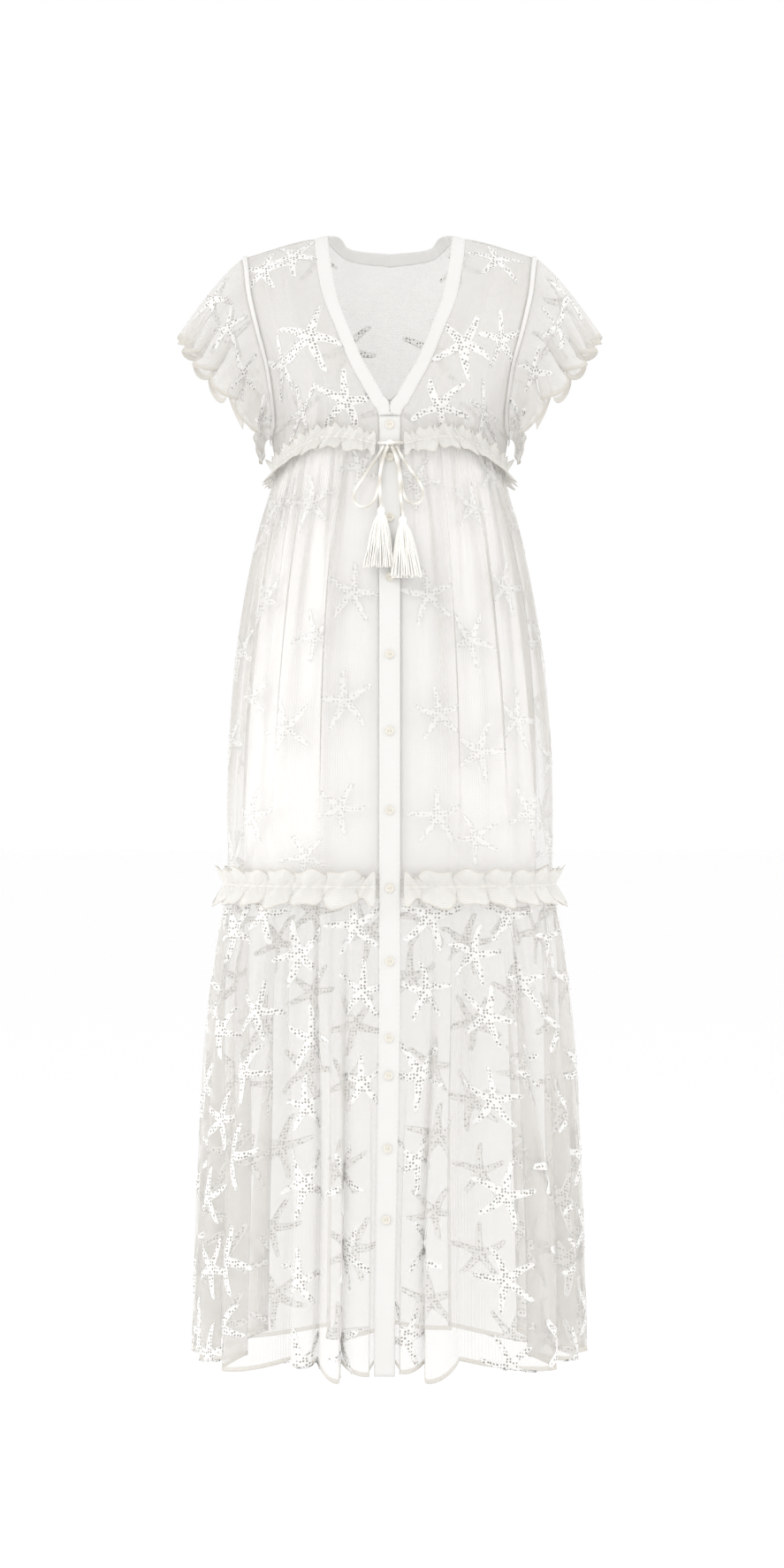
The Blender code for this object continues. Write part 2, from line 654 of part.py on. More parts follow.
def add_sleeve(side):
    """A flounce on the armhole. Its cloth falls from the armhole to the hem on one drooping curve."""
    count = SLEEVE_WAVES * COLUMNS_PER_WAVE
    threads = []
    for frame in spaced_frames([frame for _, _, frame in armhole_frames(side)], count):
        facing = 1 if frame.place.y > 0 else -1
        forward = facing * read(SLEEVE_HEM, "forward", frame.row)
        hem = Vector((side * read(SLEEVE_HEM, "x", frame.row), forward, read(SLEEVE_HEM, "z", frame.row)))
        height = (frame.row - UNDERARM_ROW) / (SHOULDER_ROW - UNDERARM_ROW)
        clear = SLEEVE_START + UNDERARM_CLEAR * (1 - height) ** 4
        first = frame.place + frame.off.normalized() * clear
        rise = UNDERARM_RISE * (1 - height) ** 4 - 0.75 * height**2
        way = Vector((side, 0.5 * facing * math.sin(math.pi * height), rise)).normalized()
        bend = first + way * (hem - first).length * (0.4 - 0.08 * height)
        threads.append((first, bend, hem, read(SLEEVE_HEM, "flute", frame.row)))

    def middle(column, share):
        first, bend, hem, _ = threads[column % count]
        return first * (1 - share) ** 2 + bend * (2 * share * (1 - share)) + hem * share**2

    def facing_out(place_at, column, share):
        across = place_at(column + 1, share) - place_at(column - 1, share)
        along = place_at(column, min(share + 0.05, 1)) - place_at(column, max(share - 0.05, 0))
        return across.cross(along).normalized() * side

    def fluted(column, share):
        turn = math.cos(2 * math.pi * column / COLUMNS_PER_WAVE)
        out = threads[column % count][3] * share**2 * (0.5 + 0.5 * turn)
        return middle(column, share) + facing_out(middle, column, share) * out

    pairs = []
    for share in (0, 0.3, 0.65, 1):
        row = []
        for column in range(count):
            half_wall = facing_out(fluted, column, share) * RUFFLE_WALL / 2
            row.append((fluted(column, share) + half_wall, fluted(column, share) - half_wall))
        pairs.append(row)
    wall("sleeve_right" if side < 0 else "sleeve_left", pairs, NET, ring=True)


# Skirts and lining


def panel_gathers(panel, gathers):
    return gathers * (2 if panel == "back" else 1)


def upper_surface(panel):
    gathers = panel_gathers(panel, UPPER_GATHERS)

    def surface(fraction, share):
        top = waist_drop(panel_angle(panel, fraction, WAIST_SEAM_DROP)) + HALF_GAP
        drop = top + (TIER_DROP - HALF_GAP - top) * share
        angle = panel_angle(panel, fraction + 0.012 * math.sin(5 * math.pi * fraction) * share, drop)
        turn = 2 * math.pi * gathers * fraction
        weight = FOLD_WEIGHTS[math.floor(turn / 2 / math.pi + 0.5) % len(FOLD_WEIGHTS)]
        out = GATHER_DEPTH * read(UPPER_GROWTH, "gather", share) * math.cos(turn)
        out += BROAD_FOLD_DEPTH * read(UPPER_GROWTH, "fold", share) * weight * math.cos(turn / 2)
        if panel != "back":
            out *= ease(fraction * gathers / 1.5)
        return round_point(angle, drop, out)

    return surface


def lobe_at(panel, gather):
    """(angle in degrees, share of the lobe's width, depth) at a count of gathers across the panel."""
    before, start = 0, 90 if panel == "back" else math.degrees(panel_angle("front_left", 0, HEM_DROP))
    for lobe in LOBES[panel]:
        if gather <= before + lobe.gathers or lobe is LOBES[panel][-1]:
            part = min(max((gather - before) / lobe.gathers, 0), 1)
            return start + (lobe.to_degrees - start) * part, part, lobe.depth
        before += lobe.gathers
        start = lobe.to_degrees


def lower_surface(panel):
    gathers = panel_gathers(panel, LOWER_GATHERS)

    def surface(fraction, share):
        drop = TIER_DROP + HALF_GAP + (HEM_DROP - TIER_DROP - HALF_GAP) * share
        even = panel_angle(panel, fraction, drop)
        degrees, part, depth = lobe_at(panel, min(max(fraction, 0), 1) * gathers)
        lobed = math.radians(degrees) * (-1 if panel == "front_right" else 1)
        inside = ease(min(fraction, 1 - fraction) * gathers * 2)
        spread = ease(share * 1.3) * inside
        angle = even + (lobed - even) * spread
        out = GATHER_DEPTH * read(LOWER_GROWTH, "gather", share) * math.cos(2 * math.pi * gathers * fraction)
        out += depth * read(LOWER_GROWTH, "fold", share) * (math.sin(math.pi * part) ** 0.75 - LOBE_ROOT)
        if panel != "back":
            out *= ease(fraction * gathers / 0.75)
        return round_point(angle, drop, out)

    return surface


def lining_surface(panel):
    def surface(fraction, share):
        top = waist_drop(panel_angle(panel, fraction, WAIST_SEAM_DROP)) + GAP
        drop = top + (LINING_HEM_DROP - top) * share
        seam = round_point(panel_angle(panel, fraction, drop), drop, -GATHER_DEPTH - WALL - GAP)
        place = round_point(panel_angle(panel, fraction, drop, table=LINING), drop, 0, LINING)
        return seam + (place - seam) * ease(share * 5)

    return surface


def add_skirts():
    for panel in ("front_right", "front_left", "back"):
        upper_columns = evenly(panel_gathers(panel, UPPER_GATHERS) * COLUMNS_PER_WAVE)
        lower_columns = evenly(panel_gathers(panel, LOWER_GATHERS) * COLUMNS_PER_WAVE)
        shares = [row.share for row in UPPER_GROWTH]
        cloth("skirt_upper_" + panel, upper_surface(panel), upper_columns, shares, level=True)
        shares = [row.share for row in LOWER_GROWTH]
        cloth("skirt_lower_" + panel, lower_surface(panel), lower_columns, shares, level=True)
        lining_columns = evenly(20 if panel == "back" else 10)
        shares = [0, 0.12, 0.45, 1]
        cloth("lining_" + panel, lining_surface(panel), lining_columns, shares, PLAIN, level=True)


# Ruffles


def waist_place(panel, angle, rise):
    """A point at a rise over the waist seam: on the skirt below it and on the bodice above it."""
    if rise <= 0:
        return round_point(angle, waist_drop(angle) - rise)
    if panel == "back":
        fraction = (angle - math.pi / 2) / math.pi
    else:
        first = panel_angle("front_left", 0, WAIST_SEAM_DROP)
        fraction = (abs(angle) - first) / (math.pi / 2 - first)
    seam = bodice_base(panel, fraction, 0)
    above = bodice_base(panel, fraction, 1)
    return bodice_base(panel, fraction, rise / (above.z - seam.z))


def tier_place(_panel, angle, rise):
    return round_point(angle, TIER_DROP - rise)


def add_ruffle(name, panel, rows, waves, place_at, level_drop):
    """A strip gathered along its middle, whose two edges stand off the dress in waves."""
    columns = panel_gathers(panel, waves) * COLUMNS_PER_WAVE
    pairs = []
    for row in rows:
        line = []
        for column in range(columns + 1):
            angle = panel_angle(panel, column / columns, level_drop, start=RUFFLE_START)
            turn = 2 * math.pi * column / COLUMNS_PER_WAVE
            uneven = 1 + 0.25 * math.sin(1.7 * column)
            wave = row.wave * uneven * math.cos(turn)
            normal = round_normal(angle, level_drop)
            if abs(math.cos(angle)) < 0.01:
                normal.y = 0
            place = place_at(panel, angle, row.rise + 0.5 * wave) + normal * (RUFFLE_CLEAR + row.out + wave)
            if panel == "back":
                place.y = max(place.y, HALF_GAP)
            elif column == columns:
                place.y = min(place.y, -HALF_GAP)
            line.append((place, place - normal * RUFFLE_WALL))
        pairs.append(line)
    wall(name, pairs, NET)


def add_ruffles():
    for panel in ("front_right", "front_left", "back"):
        add_ruffle("waist_ruffle_" + panel, panel, WAIST_RUFFLE, WAIST_WAVES, waist_place, 0.27)
        add_ruffle("tier_ruffle_" + panel, panel, TIER_RUFFLE, TIER_WAVES, tier_place, TIER_DROP)


# Button band and buttons


def add_placket(name, half_width, lift):
    pairs = []
    for across in (-half_width, half_width):
        line = []
        for drop in PLACKET_DROPS:
            outer = centre_point(across, drop, lift)
            line.append((outer, outer + Vector((0, WALL, 0))))
        pairs.append(line)
    wall(name, pairs, PLAIN)


def button_mesh():
    """A round button with a raised rim, a sunk middle and two holes, its back at y = 0."""
    mesh_maker = bmesh.new()

    def ring(radius, depth):
        turns = [2 * math.pi * i / BUTTON_SIDES for i in range(BUTTON_SIDES)]
        return [mesh_maker.verts.new((radius * math.cos(t), -depth, radius * math.sin(t))) for t in turns]

    def hole(across, depth):
        size = HOLE_HALF_SIZE
        corners = ((-size, -size), (size, -size), (size, size), (-size, size))
        return [mesh_maker.verts.new((across + x, -depth, z)) for x, z in corners]

    def band(first, second):
        count = len(first)
        for i in range(count):
            k = (i + 1) % count
            mesh_maker.faces.new((first[i], first[k], second[k], second[i]))

    def fill(loops):
        edges = []
        for loop in loops:
            for i, vert in enumerate(loop):
                pair = (vert, loop[(i + 1) % len(loop)])
                edges.append(mesh_maker.edges.get(pair) or mesh_maker.edges.new(pair))
        bmesh.ops.triangle_fill(mesh_maker, edges=edges, use_beauty=True)

    back = ring(BUTTON_RADIUS, 0)
    side = ring(BUTTON_RADIUS, 0.0015)
    rim = ring(0.84 * BUTTON_RADIUS, 0.0022)
    dish = ring(0.62 * BUTTON_RADIUS, 0.0013)
    band(back, side)
    band(side, rim)
    band(rim, dish)
    front_holes = [hole(across, 0.0013) for across in (-HOLE_OFFSET, HOLE_OFFSET)]
    back_holes = [hole(across, 0) for across in (-HOLE_OFFSET, HOLE_OFFSET)]
    for first, second in zip(front_holes, back_holes):
        band(first, second)
    fill([dish, *front_holes])
    fill([back, *back_holes])
    bmesh.ops.recalc_face_normals(mesh_maker, faces=mesh_maker.faces)
    mesh = bpy.data.meshes.new("button")
    mesh_maker.to_mesh(mesh)
    mesh_maker.free()
    return mesh


def add_buttons():
    mesh = button_mesh()
    for number, drop in enumerate(BUTTON_DROPS, 1):
        slope = read(SKIRT, "front", drop + 0.005) - read(SKIRT, "front", drop - 0.005)
        button = add_object(f"button_{number:02d}", mesh.copy(), PLAIN, 0.3)
        button.location = centre_point(0, drop, WALL + 2 * GAP)
        button.rotation_euler.x = -math.atan2(slope, 0.01)


# Drawstring


def add_cord(name, route):
    """A round cord on a smooth curve through the route's points."""
    places = [centre_point(*point) for point in route]
    keys = [0.0]
    for before, after in zip(places, places[1:]):
        keys.append(keys[-1] + (after - before).length)
    count = max(round(keys[-1] / (5.6 * CORD_RADIUS)), 6)
    curve = bpy.data.curves.new(name, "CURVE")
    curve.dimensions = "3D"
    curve.bevel_depth = CORD_RADIUS
    curve.bevel_resolution = 2
    curve.use_fill_caps = True
    spline = curve.splines.new("POLY")
    spline.points.add(count)
    for i, point in enumerate(spline.points):
        point.co = (*smooth(keys, places, keys[-1] * i / count), 1)
    add_object(name, curve, THREAD)


def add_knot():
    """The knot of the bow and the two short leads that run into the waist ruffle."""
    mesh_maker = bmesh.new()
    lift = WALL + 2 * GAP + KNOT[4].radius
    sides = 8
    rings = []
    for across, radius in KNOT:
        middle = centre_point(across, KNOT_DROP, lift)
        turns = [2 * math.pi * i / sides for i in range(sides)]
        rings.append([
            mesh_maker.verts.new(middle + Vector((0, radius * math.cos(t), radius * math.sin(t)))) for t in turns
        ])
    for first, second in zip(rings, rings[1:]):
        for i in range(sides):
            k = (i + 1) % sides
            mesh_maker.faces.new((first[i], first[k], second[k], second[i]))
    mesh_maker.faces.new(rings[0])
    mesh_maker.faces.new(list(reversed(rings[-1])))
    add_mesh("drawstring_knot", mesh_maker, THREAD)


def disc_place(x, y, radius):
    """A point of the square from -1 to 1, drawn out to a disc."""
    return Vector((x * math.sqrt(1 - y * y / 2), y * math.sqrt(1 - x * x / 2), 0)) * radius


def add_tassel(tassel):
    """A bound head whose flat underside carries the strands, each one a face of it drawn down."""
    mesh_maker = bmesh.new()
    count = STRANDS_ACROSS
    base = centre_point(tassel.across, tassel.drop + TASSEL_HEAD[-1].height, TASSEL_LIFT)
    marks = [-1 + 2 * i / count for i in range(count + 1)]
    grid = {}
    for i, x in enumerate(marks):
        for j, y in enumerate(marks):
            grid[i, j] = mesh_maker.verts.new(base + disc_place(x, y, TASSEL_HEAD[0].radius))
    cells = []
    for i in range(count):
        for j in range(count):
            corners = (grid[i, j], grid[i, j + 1], grid[i + 1, j + 1], grid[i + 1, j])
            cells.append(mesh_maker.faces.new(corners))
    edge = [(i, 0) for i in range(count)] + [(count, j) for j in range(count)]
    edge += [(i, count) for i in range(count, 0, -1)] + [(0, j) for j in range(count, 0, -1)]
    below = [grid[key] for key in edge]
    for ring in TASSEL_HEAD[1:]:
        scale = ring.radius / TASSEL_HEAD[0].radius
        above = []
        for key in edge:
            place = disc_place(marks[key[0]], marks[key[1]], TASSEL_HEAD[0].radius) * scale
            above.append(mesh_maker.verts.new(base + place + Vector((0, 0, ring.height))))
        for i in range(len(edge)):
            k = (i + 1) % len(edge)
            mesh_maker.faces.new((below[i], below[k], above[k], above[i]))
        below = above
    mesh_maker.faces.new(below)
    bmesh.ops.inset_individual(mesh_maker, faces=cells, thickness=0.00016)
    roots = [face.calc_center_median() - base for face in cells]
    faces = cells
    for reach, spread_x, spread_y, fatter in ((0.35, 2.6, 1.6, 1.5), (1.0, 3.7, 1.8, 1.7)):
        faces = bmesh.ops.extrude_discrete_faces(mesh_maker, faces=faces)["faces"]
        for number, (face, root) in enumerate(zip(faces, roots)):
            centre = face.calc_center_median()
            length = tassel.length - TASSEL_HEAD[-1].height
            down = length * reach * (1 - 0.03 * (number * 7 % 5) * reach)
            target = base + Vector((root.x * spread_x + tassel.sway * reach, root.y * spread_y, -down))
            size = fatter if reach < 1 else fatter / 1.5
            for vert in face.verts:
                vert.co = target + (vert.co - centre) * size
    add_mesh(tassel.name, mesh_maker, THREAD)


def clear_scene():
    for old in list(bpy.data.objects):
        bpy.data.objects.remove(old, do_unlink=True)


def main():
    clear_scene()
    add_bodice()
    add_front_neckband("front_right")
    add_front_neckband("front_left")
    add_back_neckband()
    for side in (-1, 1):
        add_binding(side)
        add_sleeve(side)
    add_skirts()
    add_ruffles()
    add_placket("placket", HALF_PLACKET, WALL)
    add_placket("placket_under", HALF_UNDER_PLACKET, -GAP)
    add_buttons()
    add_knot()
    add_cord("drawstring_loop_right", LOOP_RIGHT)
    add_cord("drawstring_loop_left", LOOP_LEFT)
    add_cord("drawstring_tail_right", TAIL_RIGHT)
    add_cord("drawstring_tail_left", TAIL_LEFT)
    for tassel in TASSELS:
        add_tassel(tassel)


main()
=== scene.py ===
# Sheer embroidered maxi dress: its looks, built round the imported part.
# Metres, +Z up. The dress faces -Y and its left side is at +X. A drop is a distance down from the origin,
# and a fraction runs across a panel from its first edge to its last.

import math
import random
from bisect import bisect_right

import bpy
import numpy as np
from mathutils import Matrix, Vector


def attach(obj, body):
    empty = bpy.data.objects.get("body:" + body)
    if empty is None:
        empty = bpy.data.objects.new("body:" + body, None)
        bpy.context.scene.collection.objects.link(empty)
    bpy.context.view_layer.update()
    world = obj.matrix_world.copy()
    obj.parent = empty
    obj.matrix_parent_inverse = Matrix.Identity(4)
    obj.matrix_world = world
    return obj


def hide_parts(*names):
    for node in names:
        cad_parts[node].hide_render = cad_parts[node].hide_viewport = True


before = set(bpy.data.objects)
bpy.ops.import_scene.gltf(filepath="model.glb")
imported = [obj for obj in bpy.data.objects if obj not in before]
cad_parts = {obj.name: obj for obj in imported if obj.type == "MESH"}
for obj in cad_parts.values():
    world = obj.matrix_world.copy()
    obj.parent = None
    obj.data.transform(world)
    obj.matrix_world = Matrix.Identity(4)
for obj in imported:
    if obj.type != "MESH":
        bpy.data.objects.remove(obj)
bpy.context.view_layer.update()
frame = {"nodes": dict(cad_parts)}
print("frame loaded")

# Camera, light and floor

studio = {
    "cameraPlace": (0.0026, -5.0, -0.652),
    "lens": 97.1,
    "floorDrop": 1.522,
    "surround": "#FFFFFF",
    "surroundStrength": 1.0,
    "keyPlace": (-1.5, -3.5, 1.7),
    "keyPower": 22,
    "keySize": 1.6,
    "sidePlace": (3.2, -0.8, 0.6),
    "sidePower": 17,
    "sideSize": 1.2,
    "lowPlace": (-3.2, -0.3, -0.5),
    "lowPower": 19,
    "aim": (0, 0, -0.6),
    # height and power of small lamps inside: the light that a pale body would throw back on the cloth
    "innerFill": ((-0.13, 0.02), (-0.88, 0.09), (-1.06, 0.11), (-1.24, 0.09)),
    "innerRadius": 0.06,
}

bpy.ops.object.select_all(action="DESELECT")
bpy.ops.object.camera_add(location=studio["cameraPlace"], rotation=(math.pi / 2, 0, 0))
camera = bpy.context.object
camera.name = "studioCamera"
camera.data.lens = studio["lens"]
camera.data.clip_end = 200
bpy.context.scene.camera = camera
bpy.context.scene.view_settings.view_transform = "Standard"
bpy.context.scene.cycles.transparent_max_bounces = 64  # the net is seen through many layers


def linearColour(hexText):
    parts = [int(hexText[i : i + 2], 16) / 255 for i in (1, 3, 5)]
    return (*[p / 12.92 if p <= 0.04045 else ((p + 0.055) / 1.055) ** 2.4 for p in parts], 1)


def addNode(tree, kind, settings={}, links={}):
    node = tree.nodes.new("ShaderNode" + kind)
    for name, value in settings.items():
        if isinstance(name, int) or name in node.inputs:
            node.inputs[name].default_value = value
        else:
            setattr(node, name, value)
    for name, socket in links.items():
        tree.links.new(socket, node.inputs[name])
    return node


def startMaterial(name, settings):
    made = bpy.data.materials.new(name)
    made.use_nodes = True
    shader = made.node_tree.nodes["Principled BSDF"]
    for socket, value in settings.items():
        shader.inputs[socket].default_value = value
    return made, made.node_tree, shader


def addSoftLight(name, place, power, size):
    bpy.ops.object.light_add(type="AREA", location=place)
    light = bpy.context.object
    light.name = name
    light.data.energy = power
    light.data.shape = "DISK"
    light.data.size = size
    light.visible_camera = False
    way = Vector(studio["aim"]) - Vector(place)
    light.rotation_euler = way.to_track_quat("-Z", "Y").to_euler()


world = bpy.data.worlds.new("whiteSurround")
bpy.context.scene.world = world
world.use_nodes = True
surround = world.node_tree.nodes["Background"]
surround.inputs["Color"].default_value = linearColour(studio["surround"])
surround.inputs["Strength"].default_value = studio["surroundStrength"]
addSoftLight("keySoftbox", studio["keyPlace"], studio["keyPower"], studio["keySize"])
addSoftLight("sideSoftbox", studio["sidePlace"], studio["sidePower"], studio["sideSize"])
addSoftLight("lowSoftbox", studio["lowPlace"], studio["lowPower"], studio["sideSize"])
for height, power in studio["innerFill"]:
    bpy.ops.object.light_add(type="POINT", location=(0, 0, height))
    bpy.context.object.name = "innerFill"
    bpy.context.object.data.energy = power
    bpy.context.object.data.shadow_soft_size = studio["innerRadius"]
    bpy.context.object.visible_camera = False

# Matt paper sweep under the dress, a hair of tooth so that it doesn't look like plastic
paper, paperTree, paperShader = startMaterial("mattPaper", {"Roughness": 0.95, "Specular IOR Level": 0.1})
paperPlace = addNode(paperTree, "TexCoord")
paperTooth = addNode(
    paperTree, "TexNoise", {"Scale": 60, "Detail": 3},
    {"Vector": paperPlace.outputs["Object"]},
)
paperTone = addNode(
    paperTree, "MapRange", {"From Min": 0.3, "From Max": 0.7, "To Min": 0.985, "To Max": 0.995},
    {"Value": paperTooth.outputs["Fac"]},
)
paperTree.links.new(paperTone.outputs["Result"], paperShader.inputs["Base Color"])
bpy.ops.mesh.primitive_plane_add(size=80, location=(0, 10, -studio["floorDrop"]))
floor = bpy.context.object
floor.name = "paperFloor"
floor.data.materials.append(paper)
print("studio ready")

# Materials. Own UV maps are in metres of cloth, so a scale of 1000 / mm gives a real size.

netLook = {
    "colour": "#E8E6E3",
    "shade": "#DFDCD7",
    "hemColour": "#DEDAD2",
    "threadCover": 0.25,  # how much of what is behind one face hides, on a thread
    "holeCover": 0.18,  # and between threads, where the finest fibres still catch light
    "meshMm": 1.6,  # a real net has 1 mm holes: drawn coarser so that it shows
}


# Polyester tulle, heat set: a fine matt net whose threads catch light and whose holes let the back show
def makeTulle(name, look):
    surface = {"Roughness": 0.8, "Specular IOR Level": 0.25, "Sheen Weight": 0.1}
    made, tree, shader = startMaterial(name, surface)
    cloth = addNode(tree, "UVMap")
    cells = addNode(
        tree, "TexVoronoi",
        {"feature": "DISTANCE_TO_EDGE", "Scale": 1000 / look["meshMm"], "Randomness": 0.25},
        {"Vector": cloth.outputs["UV"]},
    )
    cover = addNode(
        tree, "MapRange",
        {"From Min": 0.05, "From Max": 0.26, "To Min": look["threadCover"], "To Max": look["holeCover"]},
        {"Value": cells.outputs["Distance"]},
    )
    openness = addNode(tree, "Math", {"operation": "SUBTRACT", 0: 1}, {1: cover.outputs["Result"]})
    layers = addNode(tree, "Attribute", {"attribute_name": "layers"})
    through = addNode(
        tree, "Math", {"operation": "POWER"},
        {0: openness.outputs[0], 1: layers.outputs["Fac"]},
    )
    alpha = addNode(tree, "Math", {"operation": "SUBTRACT", 0: 1, "use_clamp": True}, {1: through.outputs[0]})
    cloud = addNode(tree, "TexNoise", {"Scale": 22, "Detail": 2}, {"Vector": cloth.outputs["UV"]})
    tone = addNode(
        tree, "Mix",
        {"data_type": "RGBA", 6: linearColour(look["shade"]), 7: linearColour(look["colour"])},
        {0: cloud.outputs["Fac"]},
    )
    hemmed = addNode(tree, "Attribute", {"attribute_name": "hemmed"})
    turned = addNode(
        tree, "Mix", {"data_type": "RGBA", 7: linearColour(look["hemColour"])},
        {0: hemmed.outputs["Fac"], 6: tone.outputs[2]},
    )
    bump = addNode(tree, "Bump", {"Strength": 0.25, "Distance": 0.0004}, {"Height": cover.outputs["Result"]})
    tree.links.new(alpha.outputs[0], shader.inputs["Alpha"])
    tree.links.new(turned.outputs[2], shader.inputs["Base Color"])
    tree.links.new(bump.outputs["Normal"], shader.inputs["Normal"])
    return made


plainLook = {"warpMm": 1.1, "weftMm": 1.3}  # a real thread is 0.25 mm: drawn coarser so that it shows


# Plain woven cloth: two crossed sets of threads over slow, soft cockles, matt with a faint fuzz at the edges
def makeWoven(name, colour, shade, look, cockle):
    surface = {"Roughness": 0.78, "Specular IOR Level": 0.25, "Sheen Weight": 0.12}
    made, tree, shader = startMaterial(name, surface)
    cloth = addNode(tree, "UVMap")
    warp = addNode(
        tree, "TexWave", {"Scale": 1000 / look["warpMm"] / 20, "Distortion": 0.6, "Detail": 1},
        {"Vector": cloth.outputs["UV"]},
    )
    weft = addNode(
        tree, "TexWave",
        {"bands_direction": "Y", "Scale": 1000 / look["weftMm"] / 20, "Distortion": 0.6, "Detail": 1},
        {"Vector": cloth.outputs["UV"]},
    )
    weave = addNode(tree, "Math", {"operation": "MAXIMUM"}, {0: warp.outputs["Fac"], 1: weft.outputs["Fac"]})
    soft = addNode(tree, "TexNoise", {"Scale": 34, "Detail": 2}, {"Vector": cloth.outputs["UV"]})
    tone = addNode(
        tree, "Mix", {"data_type": "RGBA", 6: linearColour(shade), 7: linearColour(colour)},
        {0: soft.outputs["Fac"]},
    )
    fine = addNode(tree, "Bump", {"Strength": 0.12, "Distance": 0.0002}, {"Height": weave.outputs[0]})
    slow = addNode(
        tree, "Bump", {"Strength": cockle, "Distance": 0.002},
        {"Height": soft.outputs["Fac"], "Normal": fine.outputs["Normal"]},
    )
    tree.links.new(tone.outputs[2], shader.inputs["Base Color"])
    tree.links.new(slow.outputs["Normal"], shader.inputs["Normal"])
    return made


starLook = {
    "edge": "#FEFEFC",
    "filling": "#FBFAF8",
    # painted shade for the eyelet holes
    "shadedEyelet": "#A8A197",
    "eyeletMm": 4.0,  # between holes, really 3 mm: coarser so that they show
    "stitchMm": 1.3,
    "fillingCover": 0.84,
    "edgeCover": 0.96,
    "holeCover": 0.7,
}


# Embroidery in mercerised cotton: raised satin stitch that shines a little, pierced all over with eyelets
# that let what is behind show through and are painted darker as shade
def makeEmbroidery(name, look):
    surface = {"Roughness": 0.6, "Specular IOR Level": 0.35, "Sheen Weight": 0.1}
    made, tree, shader = startMaterial(name, surface)
    cloth = addNode(tree, "UVMap")
    dots = addNode(
        tree, "TexVoronoi", {"Scale": 1000 / look["eyeletMm"], "Randomness": 0.4},
        {"Vector": cloth.outputs["UV"]},
    )
    hole = addNode(
        tree, "MapRange", {"From Min": 0.26, "From Max": 0.36, "To Min": 1, "To Max": 0},
        {"Value": dots.outputs["Distance"]},
    )
    edge = addNode(tree, "Attribute", {"attribute_name": "edging"})
    inside = addNode(
        tree, "Math", {"operation": "SUBTRACT", 0: 1, "use_clamp": True},
        {1: edge.outputs["Fac"]},
    )
    shadedEyelet = addNode(
        tree, "Math", {"operation": "MULTIPLY"},
        {0: hole.outputs["Result"], 1: inside.outputs[0]},
    )
    filled = addNode(
        tree, "Mix",
        {"data_type": "RGBA", 6: linearColour(look["filling"]), 7: linearColour(look["edge"])},
        {0: edge.outputs["Fac"]},
    )
    # the eyelets are mixed to a dark colour, which is painted shade in the holes; the alpha below also lets
    # what is behind show through them
    tone = addNode(
        tree, "Mix", {"data_type": "RGBA", 7: linearColour(look["shadedEyelet"])},
        {0: shadedEyelet.outputs[0], 6: filled.outputs[2]},
    )
    satin = addNode(
        tree, "TexWave",
        {"bands_direction": "DIAGONAL", "Scale": 1000 / look["stitchMm"] / 20, "Distortion": 2, "Detail": 1},
        {"Vector": cloth.outputs["UV"]},
    )
    thread = addNode(tree, "Bump", {"Strength": 0.3, "Distance": 0.0003}, {"Height": satin.outputs["Fac"]})
    pierced = addNode(
        tree, "Bump", {"Strength": 0.8, "Distance": 0.0006, "invert": True},
        {"Height": shadedEyelet.outputs[0], "Normal": thread.outputs["Normal"]},
    )
    dense = addNode(
        tree, "MapRange",
        {"From Min": 0, "From Max": 1, "To Min": look["fillingCover"], "To Max": look["edgeCover"]},
        {"Value": edge.outputs["Fac"]},
    )
    alpha = addNode(
        tree, "MapRange", {"To Max": look["holeCover"]},
        {"Value": shadedEyelet.outputs[0], "To Min": dense.outputs["Result"]},
    )
    tree.links.new(tone.outputs[2], shader.inputs["Base Color"])
    tree.links.new(pierced.outputs["Normal"], shader.inputs["Normal"])
    tree.links.new(alpha.outputs["Result"], shader.inputs["Alpha"])
    return made


# the groove colour is painted shade between the strands, also on the floss and the sewing thread
cordLook = {"colour": "#F8F6F1", "grooveShade": "#DAD5CB", "twistMm": 3.2}


# Spun cotton, twisted: slanting strands with a dull glow and the grooves between them painted darker as shade
def makeYarn(name, look, strength):
    surface = {"Roughness": 0.7, "Specular IOR Level": 0.3, "Sheen Weight": 0.2}
    made, tree, shader = startMaterial(name, surface)
    place = addNode(tree, "TexCoord")
    slant = addNode(
        tree, "Mapping", {"Rotation": (0, math.radians(35), 0)},
        {"Vector": place.outputs["Object"]},
    )
    twist = addNode(
        tree, "TexWave",
        {"bands_direction": "Z", "Scale": 1000 / look["twistMm"] / 20, "Distortion": 0.8, "Detail": 1},
        {"Vector": slant.outputs["Vector"]},
    )
    # the grooves between strands are mixed to a darker colour: painted shade
    tone = addNode(
        tree, "Mix",
        {"data_type": "RGBA", 6: linearColour(look["grooveShade"]), 7: linearColour(look["colour"])},
        {0: twist.outputs["Fac"]},
    )
    bump = addNode(tree, "Bump", {"Strength": strength, "Distance": 0.0005}, {"Height": twist.outputs["Fac"]})
    tree.links.new(tone.outputs[2], shader.inputs["Base Color"])
    tree.links.new(bump.outputs["Normal"], shader.inputs["Normal"])
    return made


buttonLook = {"colour": "#EFEBE1", "cloud": "#DFD9CB"}


# Cast polyester resin, tumbled smooth: cloudy ivory under a soft shine
def makeResin(name, look):
    made, tree, shader = startMaterial(name, {"Roughness": 0.28, "IOR": 1.56, "Coat Weight": 0.2})
    place = addNode(tree, "TexCoord")
    cloud = addNode(
        tree, "TexNoise", {"Scale": 260, "Detail": 3, "Distortion": 0.8}, {"Vector": place.outputs["Object"]}
    )
    tone = addNode(
        tree, "Mix",
        {"data_type": "RGBA", 6: linearColour(look["cloud"]), 7: linearColour(look["colour"])},
        {0: cloud.outputs["Fac"]},
    )
    scuff = addNode(
        tree, "MapRange", {"From Min": 0.3, "From Max": 0.7, "To Min": 0.2, "To Max": 0.36},
        {"Value": cloud.outputs["Fac"]},
    )
    tree.links.new(tone.outputs[2], shader.inputs["Base Color"])
    tree.links.new(scuff.outputs["Result"], shader.inputs["Roughness"])
    return made


